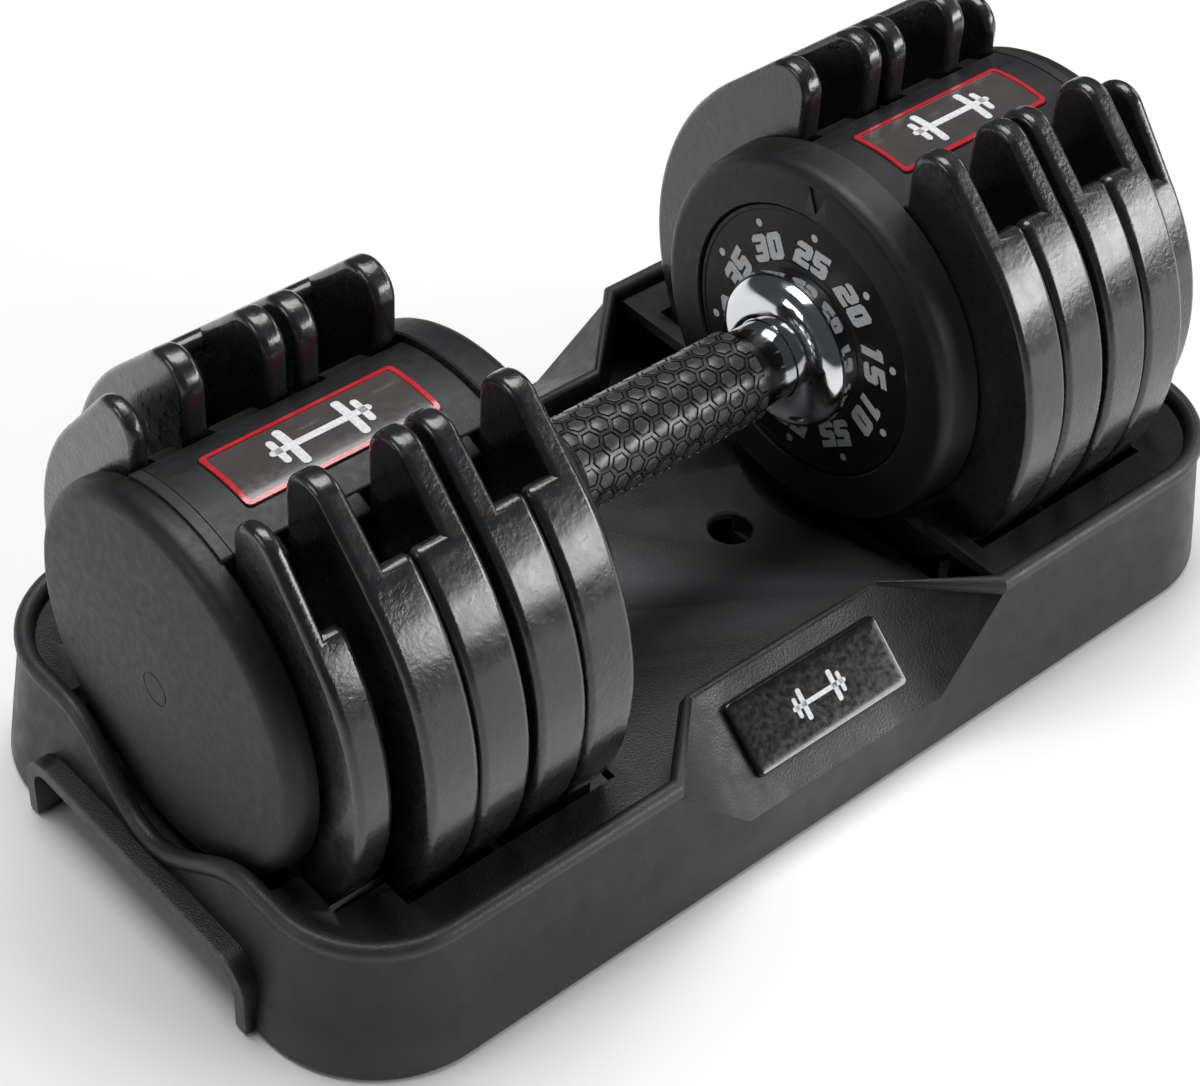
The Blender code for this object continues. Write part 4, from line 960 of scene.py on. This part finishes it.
def collar():
    """A polished dome between the tube and the dial, with a rim that stands out over its skirt."""
    seat = TUBE_R + GAP
    rim_x = COLLAR_X1 - COLLAR_SKIRT
    depth = rim_x - COLLAR_X0 - 0.2
    wide = COLLAR_R - seat - 0.3
    profile = [(COLLAR_X1, seat), (COLLAR_X0, seat)]
    profile += [(rim_x - depth * cos(turn), seat + 0.3 + wide * sin(turn))
                for turn in (pi / 2 * i / 28 for i in range(28))]
    profile += [(rim_x, COLLAR_R), (rim_x + 0.6, COLLAR_R), (rim_x + 1.0, COLLAR_R - 0.4),
                (rim_x + COLLAR_RIM, COLLAR_R - COLLAR_RIM), (COLLAR_X1, COLLAR_R - COLLAR_RIM)]
    settle_pair(turned("right_collar_look", profile, 160), "chrome", "rotor", "collar")


def handle_tube():
    profile = [(-TUBE_END, TUBE_BORE_R), (-TUBE_END, TUBE_R - 0.5), (-TUBE_END + 0.5, TUBE_R),
               (TUBE_END - 0.5, TUBE_R), (TUBE_END, TUBE_R - 0.5), (TUBE_END, TUBE_BORE_R)]
    settle(turned("handle_tube_look", profile, 96), "chrome", "rotor", "handle_tube")


GRIP_CELLS = 14        # hexagons round the grip
GRIP_WEB = 0.55        # half the web between two hexagons
GRIP_GROOVE = 0.5
GRIP_DEPTH = 0.75
GRIP_END = 0.4         # plain band at each end


def grip():
    """A rubber sleeve with hexagonal pads, each in its own groove."""
    pitch = 2 * pi * GRIP_R / GRIP_CELLS
    row = pitch * sqrt(3) / 2
    edge = GRIP_HALF - GRIP_END
    rows = ceil(edge / row) + 1
    web_r = GRIP_R - 0.12
    rings = ((0.0, web_r), (GRIP_WEB, web_r), (GRIP_WEB + 0.14, GRIP_R - GRIP_DEPTH),
             (GRIP_WEB + GRIP_GROOVE, GRIP_R - GRIP_DEPTH), (GRIP_WEB + GRIP_GROOVE + 0.1, GRIP_R - 0.16),
             (GRIP_WEB + GRIP_GROOVE + 0.35, GRIP_R))
    bm = bmesh.new()

    def on_tube(x, angle, radius):
        return (x * MM, radius * MM * cos(angle), (AXIS_Z + radius * sin(angle)) * MM)

    def point(x, s, radius):
        return bm.verts.new(on_tube(x, s / GRIP_R, radius))

    for r in range(-rows, rows + 1):
        for c in range(GRIP_CELLS):
            x = r * row
            s = (c + 0.5 * (r % 2)) * pitch
            loops = []
            for shrink, radius in rings:
                size = (pitch / 2 - shrink) / cos(pi / 6)
                loop = []
                for k in range(12):
                    turn = radians(30 * k)
                    reach = size if k % 2 == 0 else size * cos(pi / 6)
                    loop.append(point(x + reach * cos(turn), s + reach * sin(turn), radius))
                loops.append(loop)
            middle = point(x, s, GRIP_R)
            for inner, outer in zip(loops[1:], loops):
                for k in range(12):
                    j = (k + 1) % 12
                    bm.faces.new((outer[k], outer[j], inner[j], inner[k]))
            for k in range(12):
                bm.faces.new((loops[-1][k], loops[-1][(k + 1) % 12], middle))
    bmesh.ops.remove_doubles(bm, verts=bm.verts, dist=0.00002)
    for way in (-1, 1):
        geometry = bm.verts[:] + bm.edges[:] + bm.faces[:]
        bmesh.ops.bisect_plane(bm, geom=geometry, dist=0.00001, plane_co=(way * edge * MM, 0, 0),
                               plane_no=(way, 0, 0), clear_outer=True)
        rim = [e for e in bm.edges if e.is_boundary and e.verts[0].co.x * way > 0]
        for x, radius in ((edge, web_r), (GRIP_HALF - 0.5, web_r), (GRIP_HALF, web_r - 0.5),
                          (GRIP_HALF, TUBE_R + GAP), (GRIP_HALF / 2, TUBE_R + GAP)):
            made = bmesh.ops.extrude_edge_only(bm, edges=rim)["geom"]
            for vert in (item for item in made if isinstance(item, bmesh.types.BMVert)):
                angle = atan2(vert.co.z - AXIS_Z * MM, vert.co.y)
                vert.co = on_tube(way * x, angle, radius)
            rim = [item for item in made if isinstance(item, bmesh.types.BMEdge) and item.is_boundary]
    bmesh.ops.bridge_loops(bm, edges=[edge for edge in bm.edges if edge.is_boundary])
    bmesh.ops.remove_doubles(bm, verts=bm.verts, dist=0.00002)
    bmesh.ops.dissolve_degenerate(bm, edges=bm.edges, dist=0.000005)
    bmesh.ops.recalc_face_normals(bm, faces=bm.faces)
    settle(linked(bm, "grip_look", 50), "grip", "rotor", "grip")


# --- Tray ---

def rim_stations():
    """Stations once round the tray: base point, outward direction."""
    flat_x = TRAY_HALF_X - TRAY_CORNER
    flat_y = TRAY_HALF_Y - TRAY_CORNER
    flank = PAD_HALF_TOP + PAD_FLANK
    right = [0.0, PAD_HALF_TOP / 2, PAD_HALF_TOP, flank, (flank + flat_x) / 2, flat_x]
    front = [-x for x in reversed(right[1:])] + right
    stations = [((x, -TRAY_HALF_Y), (0.0, -1.0)) for x in front]
    steps = 18
    for i in range(1, steps):
        angle = radians(-90 + 90 * i / steps)
        out = (cos(angle), sin(angle))
        stations.append(((flat_x + TRAY_CORNER * out[0], -flat_y + TRAY_CORNER * out[1]), out))
    dip_steps = 28
    end = [-flat_y] + [-DIP_HALF + 2 * DIP_HALF * i / dip_steps for i in range(dip_steps + 1)] + [flat_y]
    stations += [((TRAY_HALF_X, y), (1.0, 0.0)) for y in end]
    for i in range(1, steps):
        angle = radians(90 * i / steps)
        out = (cos(angle), sin(angle))
        stations.append(((flat_x + TRAY_CORNER * out[0], flat_y + TRAY_CORNER * out[1]), out))
    stations += [((x, TRAY_HALF_Y), (0.0, 1.0)) for x in reversed(front)]
    far = [((-x, y), (-out[0], out[1])) for (x, y), out in stations if x > flat_x + 0.01]
    return stations + far[::-1]


def wall_profile(top):
    """(inset, height) of the skin where the wall has its rim, from the foot to the floor."""
    share = (top - TRAY_LIFT) / (TRAY_TALL - TRAY_LIFT)
    lean = DRAFT * share
    points = [(1.0, TRAY_LIFT), (0.25, TRAY_LIFT + 0.4), (0.0, TRAY_LIFT + 1.4)]
    points.append((DRAFT * (PAD_LOW_Z - TRAY_LIFT) / (TRAY_TALL - TRAY_LIFT), PAD_LOW_Z))
    middle = (lean - BEAD_OUT + BEAD_HALF, top - BEAD_TALL)
    points.append((lean - 0.3, top - 2 * BEAD_TALL))
    for i in range(11):
        turn = radians(-28 + 224 * i / 10)
        points.append((middle[0] - BEAD_HALF * cos(turn), middle[1] + BEAD_TALL * sin(turn)))
    points.append((middle[0] + BEAD_HALF + 0.5, middle[1] - 2.4))
    points.append((DRAFT + WALL + 4.0, TRAY_LIFT + FLOOR + 1.6))
    points.append((DRAFT + WALL + 5.6, TRAY_LIFT + FLOOR))
    return points


def pad_profile():
    """The same number of points where the wall leans in to a pad."""
    points = [(1.0, TRAY_LIFT), (0.25, TRAY_LIFT + 0.4), (0.0, TRAY_LIFT + 1.4)]
    low = (DRAFT * (PAD_LOW_Z - TRAY_LIFT) / (TRAY_TALL - TRAY_LIFT), PAD_LOW_Z)
    crest = (PAD_INSET + 1.0, PAD_TOP_Z)
    inner = (PAD_INSET + 3.6, TRAY_LIFT + FLOOR)
    points.append(low)
    edge = corner(low, crest, inner, PAD_ROUND, 11)
    points += edge
    points.append((inner[0] - 0.3, PAD_TOP_Z - 9))
    points.append((inner[0] - 0.1, TRAY_LIFT + FLOOR + 1.6))
    points.append(inner)
    return points


def tray_shell(name):
    """The tray's skin, from the foot of the outer wall over the rim to the floor."""
    rings = []
    for (x, y), (out_x, out_y) in rim_stations():
        in_pad = abs(out_y) > 0.999 and abs(x) < PAD_HALF_TOP + 0.01
        top = TRAY_TALL
        if abs(out_x) > 0.999 and abs(y) < DIP_HALF:
            top -= DIP * (0.5 + 0.5 * cos(pi * y / DIP_HALF))
        profile = pad_profile() if in_pad else wall_profile(top)
        ring = []
        for k, (inward, z) in enumerate(profile):
            wide = PAD_HALF_LOW / PAD_HALF_TOP if in_pad and k <= 3 else 1.0
            ring.append((x * wide - out_x * inward, y - out_y * inward, z))
        rings.append(ring)
    columns = len(rings)
    count = len(rings[0])
    points = [point for ring in rings for point in ring]
    faces = [tuple(i * count for i in range(columns)),
             tuple(i * count + count - 1 for i in reversed(range(columns)))]
    for i in range(columns):
        j = (i + 1) % columns
        for k in range(count - 1):
            a, b = i * count + k, j * count + k
            c, d = b + 1, a + 1
            insets = [abs(points[index][1]) for index in (d, c)]
            if k == 3 and abs(insets[0] - insets[1]) > 10:
                faces += [(a, b, d), (b, c, d)] if insets[0] > insets[1] else [(a, b, c), (a, c, d)]
            else:
                faces.append((a, b, c, d))
    return solid(name, points, faces, 24)


def arch_outline(half, top, corner_r, low):
    points = [(-half, low)]
    points += arc((-half + corner_r, top - corner_r), corner_r, 180, 90, 8)
    points += arc((half - corner_r, top - corner_r), corner_r, 90, 0, 8)
    points.append((half, low))
    return points


def cradle_rib(radius, y_low, y_high, x0, x1):
    tops = []
    for i in range(5):
        y = y_high + (y_low - y_high) * i / 4
        tops.append((y, AXIS_Z - sqrt((radius + GAP) ** 2 - y * y)))
    base = TRAY_LIFT + FLOOR / 2
    return prism("rib", [(y_low, base), (y_high, base)] + tops, x0, x1)


def add_hand_floor(piece):
    inside_y = TRAY_HALF_Y - DRAFT - 2 * WALL
    join(piece, box("hand_floor", (-HAND_FLOOR_HALF, -inside_y, TRAY_LIFT + FLOOR / 2),
                    (HAND_FLOOR_HALF, inside_y, HAND_FLOOR_Z)))
    under = HAND_FLOOR_Z - WALL
    hollow_x = POCKET_X0 - WALL
    half_y = HAND_HOLLOW_HALF
    cut(piece, box("hand_hollow", (-hollow_x, -half_y, -THROUGH), (hollow_x, half_y, under)))
    outer_y = TRAY_HALF_Y - 2 * WALL
    crest_y = TRAY_HALF_Y - PAD_INSET
    for side in (-1, 1):
        slope = [(side * half_y, -THROUGH), (side * outer_y, -THROUGH),
                 (side * outer_y, PAD_LOW_Z - 2 * WALL), (side * crest_y, PAD_TOP_Z - 3 * WALL),
                 (side * crest_y, under), (side * half_y, under)]
        cut(piece, prism("pad_hollow", slope, -PAD_HALF_TOP + WALL, PAD_HALF_TOP - WALL))


def add_hand_hold(piece, side):
    shelf_x = (PLATE_X[1][1] + 2.0, TRAY_HALF_X - DRAFT - OVERLAP)
    shelf_half = TRAY_HALF_Y - TRAY_CORNER + 12
    low, high = sorted((side * shelf_x[0], side * shelf_x[1]))
    join(piece, box("shelf", (low, -shelf_half, TRAY_LIFT + FLOOR / 2), (high, shelf_half, SHELF_Z)))
    low, high = sorted((side * (TRAY_HALF_X - DRAFT), side * TRAY_LIP_X))
    lip = arch_outline(HOLD_HALF + LIP_WIDE, HOLD_TALL + LIP_WIDE, HOLD_CORNER + LIP_WIDE, TRAY_LIFT)
    join(piece, prism("lip", lip, low, high, 0.7, 2))
    hold = arch_outline(HOLD_HALF, HOLD_TALL, HOLD_CORNER, -THROUGH)
    low, high = sorted((side * (shelf_x[0] + WALL), side * (TRAY_LIP_X + THROUGH)))
    cut(piece, prism("hold", hold, low, high))


def cut_pocket(piece, side):
    shallow = AXIS_Z - HAND_FLOOR_Z - 4.6
    deep = AXIS_Z - HAND_FLOOR_Z
    cone = [(side * POCKET_X0, 0), (side * POCKET_X0, shallow), (side * (POCKET_X0 + 18), deep + 4.2),
            (side * POCKET_X1, deep + 7.0), (side * POCKET_X1, 0)]
    cut(piece, turned("pocket", cone, 128))
    hole_profile = [(HAND_FLOOR_Z - WALL - THROUGH, 0), (HAND_FLOOR_Z - WALL - THROUGH, HOLE_R),
                    (HAND_FLOOR_Z - 0.8, HOLE_R), (HAND_FLOOR_Z + 0.4, HOLE_R + 1.2),
                    (HAND_FLOOR_Z + THROUGH, HOLE_R + 1.2), (HAND_FLOOR_Z + THROUGH, 0)]
    cut(piece, upright(turned("hole", hole_profile, 48, 0.0), (side * HOLE_X, 0, 0)))


def add_cradle(piece, side):
    spans = ((PLATE_R, HAND_FLOOR_HALF - OVERLAP, PLATE_X[2][1]),
             (SMALL_R, PLATE_X[2][1] + OVERLAP, PLATE_X[1][1] + 3.0))
    for near in CRADLE_YS:
        for hand in (-1, 1):
            y_low, y_high = sorted((hand * near, hand * (near + CRADLE_THICK)))
            for radius, start, end in spans:
                x_low, x_high = sorted((side * start, side * end))
                join(piece, cradle_rib(radius, y_low, y_high, x_low, x_high))
    for start, end, ease in ((PLATE_X[4][1], PLATE_X[3][0], 0.4), (PLATE_X[2][1], PLATE_X[1][0], 1.6)):
        x_low, x_high = sorted((side * (start + ease), side * (end - ease)))
        join(piece, box("divider", (x_low, -DIVIDER_HALF, TRAY_LIFT + FLOOR / 2),
                        (x_high, DIVIDER_HALF, DIVIDER_Z)))


def ledge_block():
    """The ledge before its slots are cut."""
    outline = [(x - out_x * LEDGE_INSET, y - out_y * LEDGE_INSET)
               for (x, y), (out_x, out_y) in rim_stations()]
    return loft("ledge", [[(x, y, z) for x, y in outline] for z in (LEDGE_Z - LEDGE_THICK, LEDGE_Z)])


def slot_profile():
    """(x, radius) of the room that the ledge leaves round one head."""
    ends = ((HAND_FLOOR_HALF, COVER_R + LEDGE_EASE, PLATE_R + LEDGE_EASE),
            (PLATE_X[2][1] + LEDGE_PAST_PLATE, PLATE_R + LEDGE_EASE, SMALL_R + LEDGE_EASE),
            (PLATE_X[1][1] + LEDGE_PAST_PLATE, SMALL_R + LEDGE_EASE, CAP_R + LEDGE_EASE_CAP))
    profile = [(POCKET_X0, 0), (POCKET_X0, COVER_R + LEDGE_EASE)]
    for x, before, after in ends:
        profile += [(x, before), (x, after)]
    return profile + [(TRAY_HALF_X + THROUGH, CAP_R + LEDGE_EASE_CAP), (TRAY_HALF_X + THROUGH, 0)]


def add_ledge(piece):
    """The ledge below the rim, with a slot that follows the plates at each end."""
    ledge = ledge_block()
    cut(ledge, box("hand_room", (-POCKET_X1, -TRAY_HALF_Y, 0), (POCKET_X1, TRAY_HALF_Y, AXIS_Z)))
    for side in (-1, 1):
        cut(ledge, turned("slots", [(side * x, r) for x, r in slot_profile()], 128))
    join(piece, ledge)


def foot_places():
    """The feet's places are their CAD nodes' middles."""
    places = {}
    for name in ("foot_front_left", "foot_front_right", "foot_rear_left", "foot_rear_right"):
        x, y = span(name, 0), span(name, 1)
        places[name] = ((x[0] + x[1]) / 2, (y[0] + y[1]) / 2, 0.0)
    return places


def tray():
    piece = tray_shell("tray_body_look")
    add_hand_floor(piece)
    add_ledge(piece)
    for side in (-1, 1):
        add_hand_hold(piece, side)
        cut_pocket(piece, side)
        add_cradle(piece, side)
    for name, place in foot_places().items():
        pocket = rod("foot_pocket", FOOT_R + GAP, -THROUGH, TRAY_LIFT + FOOT_RAISE, 40, 0.0)
        cut(piece, upright(pocket, place))
        profile = [(0.4, 0), (0.4, FOOT_R - 3.4), (0.0, FOOT_R - 3.0), (0.0, FOOT_R - 0.5), (0.5, FOOT_R),
                   (FOOT_THICK - 0.4, FOOT_R), (FOOT_THICK, FOOT_R - 0.4), (FOOT_THICK, 0)]
        settle(upright(turned(f"{name}_look", profile, 40, 0.0), place), "foot", "tray", name)
    settle(piece, "tray", "tray", "tray_body")


def pad_frame():
    """Middle of the front pad's slope, the direction up along it, and its outward normal."""
    low_share = (PAD_LOW_Z - TRAY_LIFT) / (TRAY_TALL - TRAY_LIFT)
    low = Vector((0, -(TRAY_HALF_Y - DRAFT * low_share), PAD_LOW_Z))
    high = Vector((0, -(TRAY_HALF_Y - PAD_INSET - 1.0), PAD_TOP_Z))
    along = (high - low).normalized()
    out = Vector((1, 0, 0)).cross(along)
    crest = low + along * ((high - low).length - 1.4)
    return (low + crest) / 2, along, out


def on_pad(name, outlines):
    """A stack of outlines of (x, up) points, each at a height above the pad's slope."""
    middle, along, out = pad_frame()
    rings = []
    for height, outline in outlines:
        ring = []
        for x, up in outline:
            place = middle + along * up + out * height
            ring.append((x, place.y, place.z))
        rings.append(ring)
    return loft(name, rings)


def tray_badge():
    """A domed glossy plaque with a plain sign."""
    half_x, half_up = PAD_BADGE

    def plaque(shrink):
        x, up = half_x - shrink, half_up - shrink
        return rounded([(-x, -up), (x, -up), (x, up), (-x, up)], max(0.6, 2.4 - shrink), 5)

    dome = ((GAP, 0.0), (1.3, 0.0), (1.7, 0.2), (1.95, 0.6), (2.1, 1.3), (2.16, 3.5), (2.18, 8.0))
    stack = [(height, plaque(shrink)) for height, shrink in dome]
    settle(on_pad("tray_badge_look", stack), "plaque", "tray", "tray_badge")
    for i, outline in enumerate(pictogram(0.0, 17.0)):
        settle(on_pad(f"tray_badge_sign_{i}", [(2.1, outline), (2.4, outline)]), "paint", "tray")


# --- Scene ---

def dress_inner_nodes():
    """The steel inside the heads keeps its CAD shape and gets a zinc-plated look."""
    kinds = ("shaft", "lock", "selector", "spacer", "washer", "nut", "plunger")
    for name, obj in frame["nodes"].items():
        if any(kind in name for kind in kinds):
            for material_slot in obj.material_slots:
                material_slot.material = LOOKS["steel"]


def area_light(name, place, target, size, power, color=(1.0, 1.0, 1.0)):
    data = bpy.data.lights.new(name, 'AREA')
    data.shape = 'RECTANGLE'
    data.size, data.size_y = size
    data.energy = power
    data.color = color
    obj = bpy.data.objects.new(name, data)
    obj.location = place
    aim = Vector(target) - Vector(place)
    obj.rotation_euler = aim.to_track_quat('-Z', 'Y').to_euler()
    bpy.context.scene.collection.objects.link(obj)


def studio():
    floor = bpy.data.meshes.new("floor")
    half = 6.0
    floor.from_pydata([(-half, -half, 0), (half, -half, 0), (half, half, 0), (-half, half, 0)], [],
                      [(0, 1, 2, 3)])
    floor_obj = bpy.data.objects.new("floor", floor)
    floor.materials.append(pale_floor())
    bpy.context.scene.collection.objects.link(floor_obj)

    world = bpy.data.worlds.new("studio")
    world.use_nodes = True
    world.node_tree.nodes["Background"].inputs["Color"].default_value = (0.85, 0.92, 1.0, 1.0)
    world.node_tree.nodes["Background"].inputs["Strength"].default_value = 0.07
    bpy.context.scene.world = world

    area_light("overhead", (0.1, 0.45, 1.9), (0.0, 0.0, 0.05), (1.8, 1.0), 40)
    area_light("front", (1.3, -1.45, 0.72), (0.0, 0.0, 0.08), (1.5, 0.55), 26)
    area_light("left", (-2.0, 0.6, 1.0), (0.0, 0.0, 0.05), (1.0, 0.6), 7)
    area_light("right", (2.0, -0.2, 1.1), (0.0, 0.0, 0.05), (0.9, 0.5), 6)


def camera():
    data = bpy.data.cameras.new("camera")
    data.lens = CAMERA_LENS
    data.sensor_width = 36.0
    data.shift_x, data.shift_y = CAMERA_SHIFT
    data.clip_start = 0.01
    obj = bpy.data.objects.new("camera", data)
    obj.location = tuple(value * MM for value in CAMERA_PLACE)
    obj.rotation_euler = tuple(radians(value) for value in CAMERA_TURN)
    bpy.context.scene.collection.objects.link(obj)
    bpy.context.scene.camera = obj


camera()
for number, arm_side in ((5, -1), (4, 1), (3, -1), (2, 1)):
    plate(number, PLATE_R, TIP_Z, arm_side)
plate(1, SMALL_R, SMALL_TIP_Z, 1)
head_housing()
top_badge()
end_cap()
inner_cover()
dial()
collar()
handle_tube()
grip()
tray()
tray_badge()
dress_inner_nodes()
studio()

bpy.context.scene.view_settings.view_transform = 'Standard'
bpy.context.view_layer.update()
